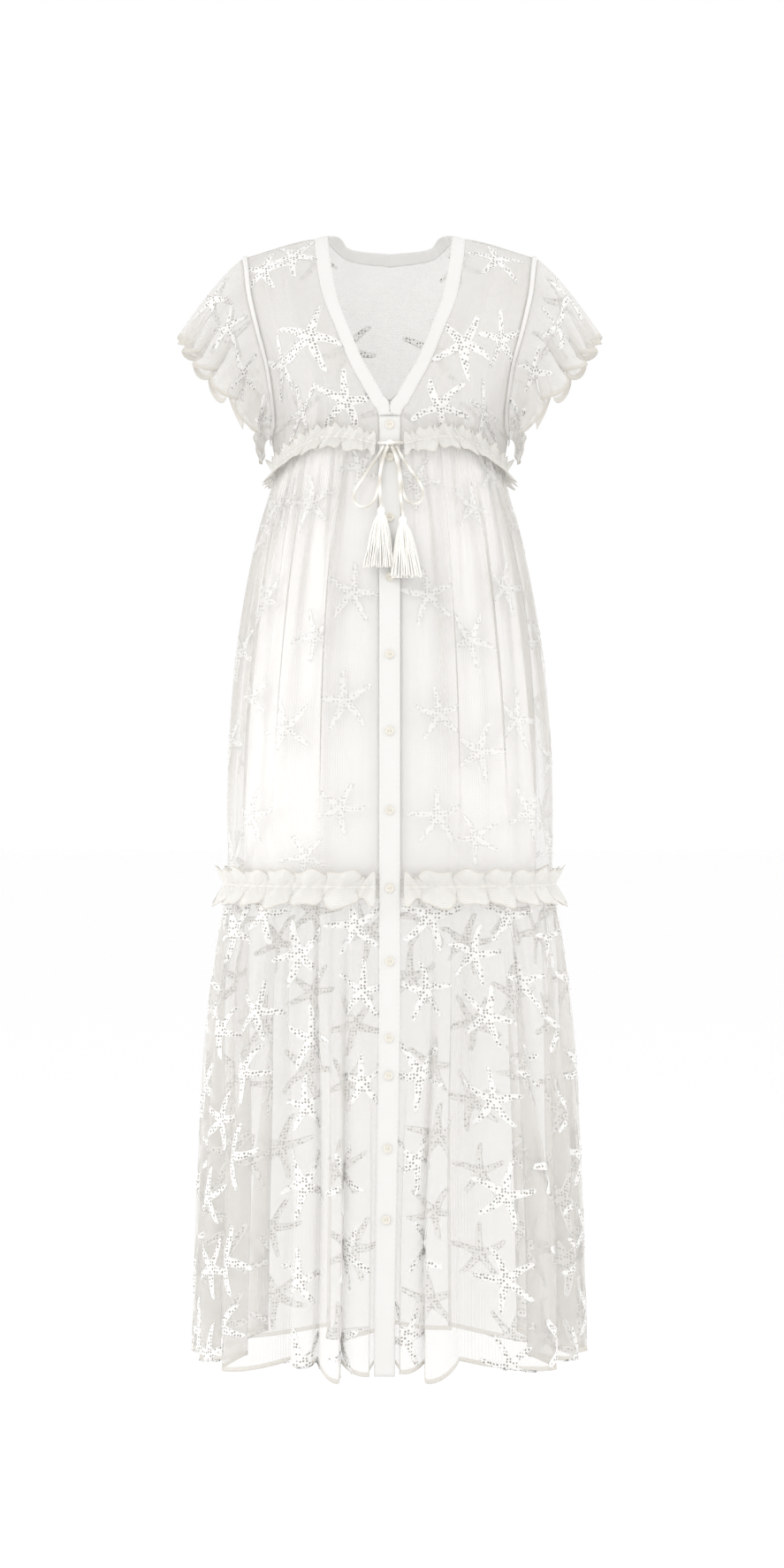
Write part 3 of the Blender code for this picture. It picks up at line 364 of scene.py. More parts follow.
tulle = makeTulle("polyesterTulle", netLook)
doubled = {"threadCover": 0.55, "holeCover": 0.42, "colour": "#F6F5F1", "shade": "#EEECE7"}
frillNet = makeTulle("doubledTulle", {**netLook, **doubled})
voile = makeWoven("cottonVoile", "#FEFDFC", "#FCFBFA", plainLook, 0.06)
poplin = makeWoven("cottonPoplin", "#E9E8E6", "#E5E4E1", plainLook, 0.1)
embroidery = makeEmbroidery("embroideryCotton", starLook)
# the same embroidery close over the lining, where white on white is faint, with lighter painted shade in its
# eyelets
faint = {"fillingCover": 0.34, "edgeCover": 0.52, "holeCover": 0.3, "shadedEyelet": "#DEDAD3"}
faintEmbroidery = makeEmbroidery("embroideryOverLining", {**starLook, **faint})
cordYarn = makeYarn("twistedCotton", cordLook, 0.5)
flossLook = {**cordLook, "twistMm": 0.8, "colour": "#FFFEF9", "grooveShade": "#FCFAF4"}
tasselYarn = makeYarn("looseCottonFloss", flossLook, 0.05)
sewingThread = makeYarn("sewingThread", {**cordLook, "twistMm": 0.9, "grooveShade": "#E6E2DA"}, 0.3)
resin = makeResin("polyesterResin", buttonLook)
print("materials ready")

# Shape of the dress: the same sizes as the solids, read more finely

gap = 0.0003
halfGap = gap / 2
clothWall = 0.0015
setBack = 0.0004  # the cloth's middle lies that far inside its solid's face
widthOverDepth = 1.36
gatherDepth = 0.0020
frillClear = gatherDepth + 0.0004 + 0.0012
waistSeamDrop = 0.265
tierDrop = 0.770
hemDrop = 1.327
liningHemDrop = 0.760
halfPlacket = 0.012
underarmRow = 2
shoulderRow = 9

# drop, half width, front, back
skirtLevels = (
    (0.2272, 0.1330, 0.1200, 0.1010),
    (0.2620, 0.1315, 0.1180, 0.1010),
    (0.3000, 0.1370, 0.1215, 0.1060),
    (0.3640, 0.1525, 0.1300, 0.1170),
    (0.4570, 0.1680, 0.1395, 0.1290),
    (0.5500, 0.1795, 0.1465, 0.1390),
    (0.6600, 0.1875, 0.1515, 0.1460),
    (0.7700, 0.1915, 0.1545, 0.1500),
    (0.8400, 0.2010, 0.1600, 0.1570),
    (0.9300, 0.2090, 0.1670, 0.1650),
    (1.0480, 0.2140, 0.1730, 0.1720),
    (1.1900, 0.2200, 0.1790, 0.1790),
    (1.3270, 0.2240, 0.1830, 0.1840),
)
liningLevels = (
    (0.2500, 0.1275, 0.1140, 0.0970),
    (0.3000, 0.1320, 0.1170, 0.1010),
    (0.3640, 0.1450, 0.1230, 0.1090),
    (0.4570, 0.1580, 0.1295, 0.1190),
    (0.5500, 0.1660, 0.1330, 0.1260),
    (0.6600, 0.1710, 0.1355, 0.1310),
    (0.7600, 0.1730, 0.1370, 0.1340),
)
waistLevels = ((0, 0.2620), (35, 0.2500), (90, 0.2850), (180, 0.2700))

# The bodice row by row from the waist up to the shoulder: points from its front or middle edge outwards
frontRows = (
    ((0.0123, -0.1180, -0.2620), (0.0750, -0.0976, -0.250), (0.1315, 0, -0.285)),
    ((0.0133, -0.1200, -0.2265), (0.0800, -0.1090, -0.230), (0.1360, 0, -0.263)),
    ((0.0220, -0.1212, -0.2115), (0.0840, -0.1190, -0.214), (0.1395, 0, -0.248)),
    ((0.0345, -0.1207, -0.1885), (0.0870, -0.1270, -0.196), (0.1388, -0.025, -0.241)),
    ((0.0466, -0.1180, -0.1660), (0.0910, -0.1295, -0.174), (0.1380, -0.050, -0.214)),
    ((0.0631, -0.1060, -0.1250), (0.1020, -0.1220, -0.138), (0.1445, -0.067, -0.165)),
    ((0.0775, -0.0850, -0.0870), (0.1140, -0.0960, -0.103), (0.1557, -0.063, -0.124)),
    ((0.0860, -0.0500, -0.0420), (0.1260, -0.0560, -0.058), (0.1666, -0.044, -0.080)),
    ((0.0885, -0.0275, -0.0205), (0.1290, -0.0310, -0.032), (0.1708, -0.0255, -0.0475)),
    ((0.0897, 0, -0.0080), (0.1316, 0, -0.018), (0.1735, 0, -0.031)),
)
backRows = (
    ((0, 0.1010, -0.270), (0.045, 0.0950, -0.271), (0.0930, 0.071, -0.276), (0.1315, 0, -0.285)),
    ((0, 0.0990, -0.240), (0.045, 0.0950, -0.243), (0.0950, 0.074, -0.251), (0.1360, 0, -0.263)),
    ((0, 0.1000, -0.215), (0.045, 0.0965, -0.219), (0.0965, 0.077, -0.229), (0.1395, 0, -0.248)),
    ((0, 0.1020, -0.190), (0.045, 0.0995, -0.194), (0.0962, 0.082, -0.207), (0.1388, 0.024, -0.240)),
    ((0, 0.1040, -0.165), (0.045, 0.1015, -0.169), (0.0950, 0.087, -0.181), (0.1388, 0.046, -0.213)),
    ((0, 0.1020, -0.125), (0.044, 0.1000, -0.128), (0.0930, 0.088, -0.138), (0.1455, 0.060, -0.165)),
    ((0, 0.0930, -0.085), (0.043, 0.0900, -0.087), (0.0910, 0.077, -0.092), (0.1560, 0.055, -0.118)),
    ((0, 0.0800, -0.054), (0.045, 0.0750, -0.051), (0.0905, 0.046, -0.041), (0.1665, 0.036, -0.074)),
    ((0, 0.0735, -0.043), (0.048, 0.0665, -0.037), (0.0905, 0.026, -0.0205), (0.1708, 0.0225, -0.046)),
    ((0, 0.0680, -0.033), (0.051, 0.0560, -0.026), (0.0897, 0, -0.008), (0.1735, 0, -0.031)),
)
frontRows = [[Vector(place) for place in row] for row in frontRows]
backRows = [[Vector(place) for place in row] for row in backRows]


def smoothCurve(keys, values, at):
    if at <= keys[0]:
        return values[0]
    if at >= keys[-1]:
        return values[-1]
    i = bisect_right(keys, at) - 1
    k = i + 1
    span = keys[k] - keys[i]
    before = max(i - 1, 0)
    after = min(k + 1, len(keys) - 1)
    slopeFirst = (values[k] - values[before]) / (keys[k] - keys[before])
    slopeLast = (values[after] - values[i]) / (keys[after] - keys[i])
    t = (at - keys[i]) / span
    return (
        values[i] * (2 * t**3 - 3 * t**2 + 1)
        + slopeFirst * (span * (t**3 - 2 * t**2 + t))
        + values[k] * (3 * t**2 - 2 * t**3)
        + slopeLast * (span * (t**3 - t**2))
    )


def easeInOut(part):
    part = min(max(part, 0.0), 1.0)
    return part * part * (3 - 2 * part)


roundColumns = {"skirt": list(zip(*skirtLevels)), "lining": list(zip(*liningLevels))}
waistColumns = list(zip(*waistLevels))


def roundSizes(drop, table="skirt"):
    drops, halves, fronts, backs = roundColumns[table]
    return smoothCurve(drops, halves, drop), smoothCurve(drops, fronts, drop), smoothCurve(drops, backs, drop)


def placketDrift(drop):
    return -0.006 * easeInOut((drop - 0.85) / (hemDrop - 0.85))


def roundPoint(angle, drop, out=0.0, table="skirt"):
    half, front, back = roundSizes(drop, table)
    depth = front if math.cos(angle) > 0 else back
    x = half * math.sin(angle) + placketDrift(drop) * max(math.cos(angle), 0.0) ** 2
    place = Vector((x, -depth * math.cos(angle), -drop))
    return place + Vector((math.sin(angle) / half, -math.cos(angle) / depth, 0)).normalized() * out


def centrePoint(across, drop, lift):
    return Vector((across + placketDrift(drop), -roundSizes(drop)[1] - lift, -drop))


def waistDrop(angle):
    degrees = math.degrees(angle) % 360
    return smoothCurve(*waistColumns, min(degrees, 360 - degrees))


def panelAngle(panel, fraction, drop, start=halfPlacket + gap, table="skirt"):
    half, front, back = roundSizes(drop, table)
    if panel == "back":
        edge = halfGap / back
        return math.pi / 2 + edge + (math.pi - 2 * edge) * fraction
    first = math.asin(start / half)
    last = math.pi / 2 - halfGap / front
    angle = first + (last - first) * fraction
    return -angle if panel == "frontRight" else angle


def columnPoint(rows, column, row):
    first, last = 0, len(rows) - 1
    if column == len(rows[0]) - 1:  # the outer column has a corner at the underarm
        first, last = (underarmRow, last) if row >= underarmRow else (0, underarmRow)
    keys = list(range(first, last + 1))
    return smoothCurve(keys, [rows[key][column] for key in keys], row)


def rowPoint(rows, keys, fraction, row):
    return smoothCurve(keys, [columnPoint(rows, column, row) for column in range(len(keys))], fraction)


def bodicePoint(panel, fraction, row):
    if panel == "back":
        half = abs(1 - 2 * fraction)
        waistAngle = math.pi / 2 + math.pi * fraction
        rows, keys = backRows, (0, 1 / 3, 2 / 3, 1)
        side = -1 if fraction > 0.5 else 1
    else:
        half = fraction
        waistAngle = panelAngle("frontLeft", fraction, waistSeamDrop)
        rows, keys = frontRows, (0, 0.5, 1)
        side = -1 if panel == "frontRight" else 1
    place = rowPoint(rows, keys, half, row)
    if row < 3:
        level = waistDrop(waistAngle)
        seam = roundPoint(waistAngle, level)
        seam.x = abs(seam.x)
        seam.z = -level + gap
        place = place + (seam - rowPoint(rows, keys, half, 0)) * (1 - row / 3) ** 2
    place.y = max(place.y, halfGap) if panel == "back" else min(place.y, -halfGap)
    return Vector((side * place.x, place.y, place.z))


# Making and finishing cloth


def surfaceGrid(placeAt, columns, rows, shares=None):
    places = np.empty((rows + 1, columns + 1, 3))
    for i, share in enumerate(shares or [i / rows for i in range(rows + 1)]):
        for j in range(columns + 1):
            places[i, j] = placeAt(j / columns, share)
    return places


# Even steps down to the hem, then one just above its fold, its fold, its middle and its edge
def hemmedShares(rows, hemShare):
    top = 1 - hemShare
    return [top * i / (rows - 3) for i in range(rows - 3)] + [top - 0.1 * hemShare, top, 1 - hemShare / 2, 1]


def clothSizes(places):
    across = np.linalg.norm(np.diff(places, axis=1), axis=2).sum(axis=1)
    down = np.linalg.norm(np.diff(places, axis=0), axis=2).sum(axis=0)
    return float(across.max()), float(down.mean())


# The cut is the rectangle that the piece was made from, and its area what is left after the shaping
def stateCut(piece, places, held):
    width, length = clothSizes(places)
    doubles = np.cross(places[1:, 1:] - places[:-1, :-1], places[1:, :-1] - places[:-1, 1:])
    area = min(float(np.linalg.norm(doubles, axis=2).sum() / 2), width * length)
    print(piece.name, "cut", round(width, 3), "x", round(length, 3), "m, area", round(area, 4))


def readVectors(mesh, kind):
    found = np.empty(len(mesh.vertices) * 3, np.float32)
    mesh.vertices.foreach_get(kind, found)
    return found.reshape(-1, 3)


# A flat grid is added and each of its points is moved to its place on the surface.
# "layers" holds how many thicknesses of net a straight look through the cloth meets there,
# and "hemmed" where it is turned and stitched (first rows, last rows).
def gridPiece(name, places, outward, ring=False, layers=None, hems=(0, 0), crisp=1.0):
    rows, columns = places.shape[0] - 1, places.shape[1] - 1
    bpy.ops.object.select_all(action="DESELECT")
    bpy.ops.mesh.primitive_grid_add(x_subdivisions=columns, y_subdivisions=rows, size=1)
    piece = bpy.context.object
    piece.name = name
    piece.data.name = name
    mesh = piece.data
    flat = readVectors(mesh, "co")
    across = np.rint((flat[:, 0] + 0.5) * columns).astype(int)
    down = np.rint((flat[:, 1] + 0.5) * rows).astype(int)
    mesh.vertices.foreach_set("co", places[down, across].astype(np.float32).ravel())
    width, length = clothSizes(places)
    corners = np.empty(len(mesh.loops) * 2, np.float32)
    mesh.uv_layers[0].data.foreach_get("uv", corners)
    corners = corners.reshape(-1, 2) * (width, length)
    mesh.uv_layers[0].data.foreach_set("uv", corners.astype(np.float32).ravel())
    mesh.update()
    facing = (readVectors(mesh, "normal") * outward(places[down, across])).sum(axis=1)
    if layers is not None:
        stated = mesh.attributes.new("layers", "FLOAT", "POINT")
        slope = 1 / np.clip(np.abs(facing), 0.4, 1) ** crisp
        stated.data.foreach_set("value", (slope + layers[down, across]).astype(np.float32))
        turned = mesh.attributes.new("hemmed", "FLOAT", "POINT")
        rim = (down < hems[0]) | (down > rows - hems[1])
        turned.data.foreach_set("value", rim.astype(np.float32))
    if facing.sum() < 0:
        mesh.flip_normals()
    if ring:
        bpy.ops.object.mode_set(mode="EDIT")
        bpy.ops.mesh.select_all(action="SELECT")
        bpy.ops.mesh.remove_doubles(threshold=1e-6)
        bpy.ops.object.mode_set(mode="OBJECT")
    return piece


def unit(vectors):
    return vectors / np.maximum(np.linalg.norm(vectors, axis=-1, keepdims=True), 1e-9)


# Outwards from the dress's upright axis, as on the skirts
def fromRound(places):
    return unit(places * (1, widthOverDepth, 0))


# Outwards from a point inside the chest, as on the bodice
def fromBody(places):
    return unit((places + (0, 0, 0.12)) * (1, 1, 0.6))


def selectOnly(*pieces):
    bpy.ops.object.select_all(action="DESELECT")
    for piece in pieces:
        piece.select_set(True)
    bpy.context.view_layer.objects.active = pieces[0]


def copyOf(piece, name):
    copy = bpy.data.objects.new(name, piece.data.copy())
    bpy.context.collection.objects.link(copy)
    return copy


def finishPiece(piece, material, nodes):
    piece.data.shade_smooth()
    piece.data.materials.clear()
    piece.data.materials.append(material)
    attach(piece, "root")
    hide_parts(*nodes)
    return piece


def finishCloth(piece, material, wall, nodes):
    bpy.context.view_layer.objects.active = piece
    solid = piece.modifiers.new("wall", "SOLIDIFY")
    solid.thickness = wall
    solid.offset = -1
    bpy.ops.object.modifier_apply(modifier="wall")
    return finishPiece(piece, material, nodes)


# Soft troughs (minus) and ridges (plus): from one place to another on the panel, in fractions, then the
# half width and the height in metres
def creaseLift(creases, across, down, width, length):
    lift = 0.0
    for fromAcross, fromDown, toAcross, toDown, halfWidth, height in creases:
        ax, ay = fromAcross * width, fromDown * length
        bx, by = toAcross * width, toDown * length
        px, py = across * width, down * length
        runX, runY = bx - ax, by - ay
        t = min(max(((px - ax) * runX + (py - ay) * runY) / (runX**2 + runY**2), 0), 1)
        away = math.hypot(px - ax - runX * t, py - ay - runY * t) / halfWidth
        if away < 1:
            swell = 0.35 + 0.65 * math.sin(math.pi * min(max(t, 0.08), 0.92))
            lift += height * (1 - away * away) ** 2 * swell
    return lift


# Drawstring: the bow's cords first, each drawn along its own route

drawstring = {
    "radius": 0.00165,
    "lift": 0.0058,
    "tailLift": 0.0095,
    "tasselLift": 0.0170,
    "pointsPerCord": 40,
}
tailLift, tasselLift = drawstring["tailLift"], drawstring["tasselLift"]
# each cord's route: across, drop, and how far it stands in front of the skirt's form
loopRight = [
    (across, drop, drawstring["lift"])
    for across, drop in (
        (-0.0070, 0.2622), (-0.0112, 0.2695), (-0.0165, 0.2785), (-0.0270, 0.2940),
        (-0.0370, 0.3090), (-0.0412, 0.3200), (-0.0375, 0.3305), (-0.0285, 0.3330),
        (-0.0185, 0.3265), (-0.0138, 0.3130), (-0.0112, 0.2930), (-0.0085, 0.2760),
        (-0.0052, 0.2680), (-0.0034, 0.2632),
    )
]
loopLeft = [
    (across, drop, drawstring["lift"])
    for across, drop in (
        (0.0070, 0.2622), (0.0112, 0.2695), (0.0160, 0.2785), (0.0255, 0.2920),
        (0.0345, 0.3050), (0.0385, 0.3160), (0.0350, 0.3265), (0.0265, 0.3295),
        (0.0180, 0.3230), (0.0143, 0.3090), (0.0116, 0.2900), (0.0088, 0.2760),
        (0.0052, 0.2680), (0.0034, 0.2632),
    )
]
# the tails run on 10 mm into the heads of their tassels
tailRight = (
    (-0.0020, 0.2627, tailLift),
    (-0.0060, 0.2730, tailLift),
    (-0.0104, 0.2900, 0.0105),
    (-0.0113, 0.3130, 0.0140),
    (-0.0100, 0.3333, tasselLift),
    (-0.0100, 0.3433, tasselLift),
)
tailLeft = (
    (0.0020, 0.2627, tailLift),
    (0.0060, 0.2730, tailLift),
    (0.0104, 0.2900, 0.0105),
    (0.0124, 0.3200, 0.0138),
    (0.0150, 0.3443, tasselLift),
    (0.0150, 0.3543, tasselLift),
)


def runLengths(places):
    lengths = [0.0]
    for before, after in zip(places, places[1:]):
        lengths.append(lengths[-1] + (after - before).length)
    return lengths


def addDrawstringCord(name, route, node):
    places = [centrePoint(*point) for point in route]
    lengths = runLengths(places)
    count = drawstring["pointsPerCord"]
    bpy.ops.object.select_all(action="DESELECT")
    bpy.ops.curve.primitive_nurbs_path_add()
    cord = bpy.context.object
    cord.name = name
    cord.data.splines.clear()
    cord.data.bevel_depth = drawstring["radius"]
    cord.data.bevel_resolution = 3
    cord.data.use_fill_caps = True
    spline = cord.data.splines.new("POLY")
    spline.points.add(count)
    for i, point in enumerate(spline.points):
        point.co = (*smoothCurve(lengths, places, lengths[-1] * i / count), 1)
    cord.data.materials.append(cordYarn)
    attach(cord, "root")
    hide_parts(node)
    return cord, places[0], lengths[-1]


def joinPieces(name, parts):
    selectOnly(*parts)
    bpy.ops.object.transform_apply(location=True, rotation=True, scale=True)
    if len(parts) > 1:
        bpy.ops.object.join()
    joined = bpy.context.object
    joined.name = name
    joined.data.name = name
    return joined


tasselLook = {
    "strands": 112,
    "strandRadius": 0.00090,
    "steps": 7,
    "halfSpread": 0.0182,
    "depthSpread": 0.0078,
    "headLength": 0.0098,
    "headHalf": (0.0044, 0.0044, 0.0054),
    "headRise": 0.0052,
    "turns": 4,
    "turnRadius": 0.0036,
    "turnThick": 0.0006,
    "turnPitch": 0.0011,
    "rootRadius": 0.0034,
    "rootRise": 0.0018,
    "bow": 0.0012,
    "unevenEnds": 0.0035,
}
goldenAngle = 2.39996  # spreads the strands evenly over a round


# A wound head, turns of floss round its neck, and strands that spread as they hang
def addTassel(name, across, drop, sway, length, node, seed):
    chance = random.Random(seed)
    base = centrePoint(across, drop + tasselLook["headLength"], drawstring["tasselLift"])
    bpy.ops.object.select_all(action="DESELECT")
    middle = base + Vector((0, 0, tasselLook["headRise"]))
    bpy.ops.mesh.primitive_uv_sphere_add(segments=28, ring_count=14, radius=1, location=middle)
    head = bpy.context.object
    head.scale = tasselLook["headHalf"]
    parts = [head]
    for turn in range(tasselLook["turns"]):
        rise = 0.0012 + tasselLook["turnPitch"] * turn
        bpy.ops.mesh.primitive_torus_add(
            major_radius=tasselLook["turnRadius"], minor_radius=tasselLook["turnThick"],
            major_segments=28, minor_segments=6,
            location=base + Vector((0, 0, rise)), rotation=(0.05 * (turn % 2), 0.06, 0),
        )
        parts.append(bpy.context.object)
    bpy.ops.curve.primitive_nurbs_path_add()
    floss = bpy.context.object
    floss.data.splines.clear()
    floss.data.bevel_depth = tasselLook["strandRadius"]
    floss.data.bevel_resolution = 0
    floss.data.use_fill_caps = True
    steps = tasselLook["steps"]
    rootRadius = tasselLook["rootRadius"]
    for number in range(tasselLook["strands"]):
        ring = math.sqrt((number + 0.5) / tasselLook["strands"])
        angle = number * goldenAngle
        root = Vector((
            rootRadius * ring * math.cos(angle),
            rootRadius * ring * math.sin(angle),
            tasselLook["rootRise"],
        ))
        ends = Vector((
            tasselLook["halfSpread"] * ring * math.cos(angle) + sway,
            tasselLook["depthSpread"] * ring * math.sin(angle),
            -(length - tasselLook["headLength"]) + chance.random() * tasselLook["unevenEnds"],
        ))
        bow = chance.uniform(-tasselLook["bow"], tasselLook["bow"])
        spline = floss.data.splines.new("POLY")
        spline.points.add(steps)
        for i, point in enumerate(spline.points):
            t = i / steps
            spread = 0.55 * t + 0.45 * t**0.5
            side = root.x + (ends.x - root.x) * spread + bow * math.sin(math.pi * 1.6 * t)
            deep = root.y + (ends.y - root.y) * spread + bow * math.sin(math.pi * 1.2 * t)
            point.co = (*(base + Vector((side, deep, root.z + (ends.z - root.z) * t))), 1)
    selectOnly(floss)
    bpy.ops.object.convert(target="MESH")
    parts.append(bpy.context.object)
    return finishPiece(joinPieces(name, parts), tasselYarn, [node])


tasselRight = addTassel("tasselRight", -0.0100, 0.3340, -0.0022, 0.0700, "tassel_right", 3)
tasselLeft = addTassel("tasselLeft", 0.0150, 0.3450, 0.0040, 0.0710, "tassel_left", 8)

bowLoops = (
    ("drawstringLoopRight", loopRight, "drawstring_loop_right", 0.165),
    ("drawstringLoopLeft", loopLeft, "drawstring_loop_left", 0.155),
)
for name, route, node, length in bowLoops:
    cord, start, found = addDrawstringCord(name, route, node)
    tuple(start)
    print(name, round(found, 4))
bowTails = (
    ("drawstringTailRight", tailRight, "drawstring_tail_right", 0.083, tasselRight),
    ("drawstringTailLeft", tailLeft, "drawstring_tail_left", 0.094, tasselLeft),
)
for name, route, node, length, tassel in bowTails:
    cord, start, found = addDrawstringCord(name, route, node)
    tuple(start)
    print(name, round(found, 4))

knot = {
    "drop": 0.2585,
    "lift": 0.0064,
    "leadFrom": -0.0139,
    "leadTo": 0.0160,
    "coreHalf": (0.0040, 0.0036, 0.0034),
    "turnRadius": 0.0027,
    "turnThick": 0.0015,
    "turns": ((0.5, -0.0014), (-0.45, 0.0016)),  # tilt, and shift to the side
}


# Two leads that come out of the frill, and the crossed turns of the bow pulled tight over them
def addKnot():
    middle = centrePoint(0, knot["drop"], knot["lift"])
    parts = []
    leads = middle + Vector(((knot["leadTo"] + knot["leadFrom"]) / 2, 0, 0))
    bpy.ops.object.select_all(action="DESELECT")
    bpy.ops.mesh.primitive_cylinder_add(
        vertices=16, radius=drawstring["radius"], depth=knot["leadTo"] - knot["leadFrom"],
        location=leads, rotation=(0, math.pi / 2, 0),
    )
    parts.append(bpy.context.object)
    bpy.ops.mesh.primitive_uv_sphere_add(segments=24, ring_count=12, radius=1, location=middle)
    parts.append(bpy.context.object)
    parts[-1].scale = knot["coreHalf"]
    for tilt, shift in knot["turns"]:
        bpy.ops.mesh.primitive_torus_add(
            major_radius=knot["turnRadius"], minor_radius=knot["turnThick"],
            major_segments=28, minor_segments=10,
            location=middle + Vector((shift, -0.0001, 0)), rotation=(0, math.pi / 2 + tilt, 0),
        )
        parts.append(bpy.context.object)
    finishPiece(joinPieces("drawstringKnot", parts), cordYarn, ["drawstring_knot"])


addKnot()
print("drawstring tied")

# Buttons

buttonSizes = {
    "drops": (0.2370, 0.2745, 0.345, 0.414, 0.503, 0.591, 0.682, 0.7715, 0.855, 0.942, 0.985, 1.068, 1.149),
    "radius": 0.005,
    "height": 0.0022,
    "rim": 0.0009,
    "dishDepth": 0.0009,
    "dishSlope": 0.0008,
    "edgeRounding": 0.0004,
    "holeRadius": 0.00062,
    "holeOffset": 0.0012,
    "threadRadius": 0.00042,
}


# Turned dish with a rolled rim, two drilled holes and the thread that holds it
def makeButton():
    radius, height = buttonSizes["radius"], buttonSizes["height"]
    bpy.ops.object.select_all(action="DESELECT")
    bpy.ops.mesh.primitive_cylinder_add(
        vertices=40, radius=radius, depth=height, location=(0, -height / 2, 0), rotation=(math.pi / 2, 0, 0)
    )
    button = bpy.context.object
    bpy.ops.object.transform_apply(location=True, rotation=True, scale=True)
    bpy.ops.object.mode_set(mode="EDIT")
    bpy.ops.mesh.select_mode(type="FACE")
    bpy.ops.mesh.select_all(action="DESELECT")
    bpy.ops.object.mode_set(mode="OBJECT")
    for face in button.data.polygons:
        face.select = face.normal.y < -0.9
    bpy.ops.object.mode_set(mode="EDIT")
    bpy.ops.mesh.inset(thickness=buttonSizes["rim"], depth=0)
    bpy.ops.mesh.inset(thickness=buttonSizes["dishSlope"], depth=-buttonSizes["dishDepth"])
    bpy.ops.mesh.inset(thickness=0.0006, depth=-0.0001)
    bpy.ops.object.mode_set(mode="OBJECT")
    rounding = button.modifiers.new("rounding", "BEVEL")
    rounding.width = buttonSizes["edgeRounding"]
    rounding.segments = 3
    rounding.limit_method = "ANGLE"
    rounding.angle_limit = math.radians(35)
    bpy.ops.object.modifier_apply(modifier="rounding")
    for side in (-1, 1):
        bpy.ops.mesh.primitive_cylinder_add(
            vertices=14, radius=buttonSizes["holeRadius"], depth=3 * height,
            location=(side * buttonSizes["holeOffset"], 0, 0), rotation=(math.pi / 2, 0, 0),
        )
        drill = bpy.context.object
        selectOnly(button)
        hole = button.modifiers.new("hole", "BOOLEAN")
        hole.object = drill
        hole.solver = "EXACT"
        bpy.ops.object.modifier_apply(modifier="hole")
        bpy.data.objects.remove(drill, do_unlink=True)
    button.data.materials.clear()
    button.data.materials.append(resin)
    bpy.ops.mesh.primitive_cylinder_add(
        vertices=10, radius=buttonSizes["threadRadius"], depth=2 * buttonSizes["holeOffset"],
        location=(0, -height + buttonSizes["dishDepth"] - 0.0001, 0), rotation=(0, math.pi / 2, 0),
    )
    thread = bpy.context.object
    thread.data.materials.append(sewingThread)
    return joinPieces("button", [button, thread])


button = makeButton()
selectOnly(button)
bpy.ops.object.shade_smooth_by_angle(angle=math.radians(35))
for number, drop in enumerate(buttonSizes["drops"], 1):
    copy = copyOf(button, f"button{number:02d}")
    slope = roundSizes(drop + 0.005)[1] - roundSizes(drop - 0.005)[1]
    turned = Matrix.Rotation(-math.atan2(slope, 0.01), 4, "X")
    copy.data.transform(Matrix.Translation(centrePoint(0, drop, clothWall + 2 * gap)) @ turned)
    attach(copy, "root")
    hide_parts(f"button_{number:02d}")
bpy.data.objects.remove(button, do_unlink=True)
print("buttons sewn on")

# Button band, neck band and armhole bindings

bands = {
    "halfWidth": halfPlacket,
    "underHalfWidth": 0.0115,
    "wall": 0.0013,
    "bandLength": 1.1,
    "rolledEdge": 0.0016,
    "rolledDepth": 0.00025,
    "neckWidth": 0.0165,
    "neckCrossing": 0.0051,
    "topDrop": 0.2275,
    "bindingWidth": 0.0055,
    "bindingLift": 0.0008,
    "edgeStitchIn": 0.0016,
    "stitchPitch": 0.0036,
    "stitchLength": 0.0024,
    "stitchThick": 0.00036,
}
step = 0.002  # how far apart two points lie that give a slope
underarm = Vector((0.1395, 0, -0.248))
placketCreases = (
    (0.1, 0.13, 0.9, 0.145, 0.006, -0.0004),
    (0.9, 0.26, 0.2, 0.29, 0.008, 0.0004),
    (0.1, 0.47, 0.8, 0.49, 0.007, -0.0004),
    (0.2, 0.66, 0.9, 0.64, 0.009, 0.0004),
    (0.9, 0.83, 0.1, 0.86, 0.008, -0.0004),
)


def placketPoint(halfWidth, lift):
    def placeAt(fraction, share):
        drop = bands["topDrop"] + (hemDrop - bands["topDrop"]) * share
        rise = creaseLift(placketCreases, fraction, share, 2 * halfWidth, bands["bandLength"])
        fromEdge = min(fraction, 1 - fraction) * 2 * halfWidth
        edge = bands["rolledDepth"] * max(0, 1 - fromEdge / bands["rolledEdge"])
        return centrePoint(halfWidth * (2 * fraction - 1), drop, lift + rise - edge)

    return placeAt


def fromFront(places):
    return np.zeros_like(places) + (0, -1, 0)


placketPlaces = surfaceGrid(placketPoint(bands["halfWidth"], clothWall), 12, 220)
placket = gridPiece("placket", placketPlaces, fromFront)
finishCloth(placket, poplin, bands["wall"], ["placket"])
underPlaces = surfaceGrid(placketPoint(bands["underHalfWidth"], -gap), 6, 120)
underPlacket = gridPiece("placketUnder", underPlaces, fromFront)
finishCloth(underPlacket, poplin, bands["wall"], ["placket_under"])


def bodiceNormal(panel, fraction, row):
    near, far = bodicePoint(panel, fraction - step, row), bodicePoint(panel, fraction + step, row)
    low, high = bodicePoint(panel, fraction, row - 9 * step), bodicePoint(panel, fraction, row + 9 * step)
    place = bodicePoint(panel, fraction, row)
    normal = (far - near).cross(high - low)
    sure = easeInOut((Vector((abs(place.x), place.y, place.z)) - underarm).length / 0.08)
    outward = Vector((place.x, place.y, max(0.12 + place.z, 0)))
    if normal.dot(outward) < 0:
        normal = -normal
    level = Vector((place.x, widthOverDepth * place.y, 0)).normalized()
    normal = normal.normalized() * sure + level * (1 - sure)
    if abs(place.y) < 2 * gap:
        normal.y = 0
    return normal.normalized()


# A point of the bodice's edge, its outward normal and the way off the edge towards a middle point
def edgeFrame(panel, fraction, row, toward):
    place = bodicePoint(panel, fraction, row)
    normal = bodiceNormal(panel, fraction, row)
    before = row if row == underarmRow else row - 9 * step
    along = (bodicePoint(panel, fraction, row + 9 * step) - bodicePoint(panel, fraction, before)).normalized()
    off = normal.cross(along).normalized()
    return place, normal, -off if off.dot(toward - place) < 0 else off


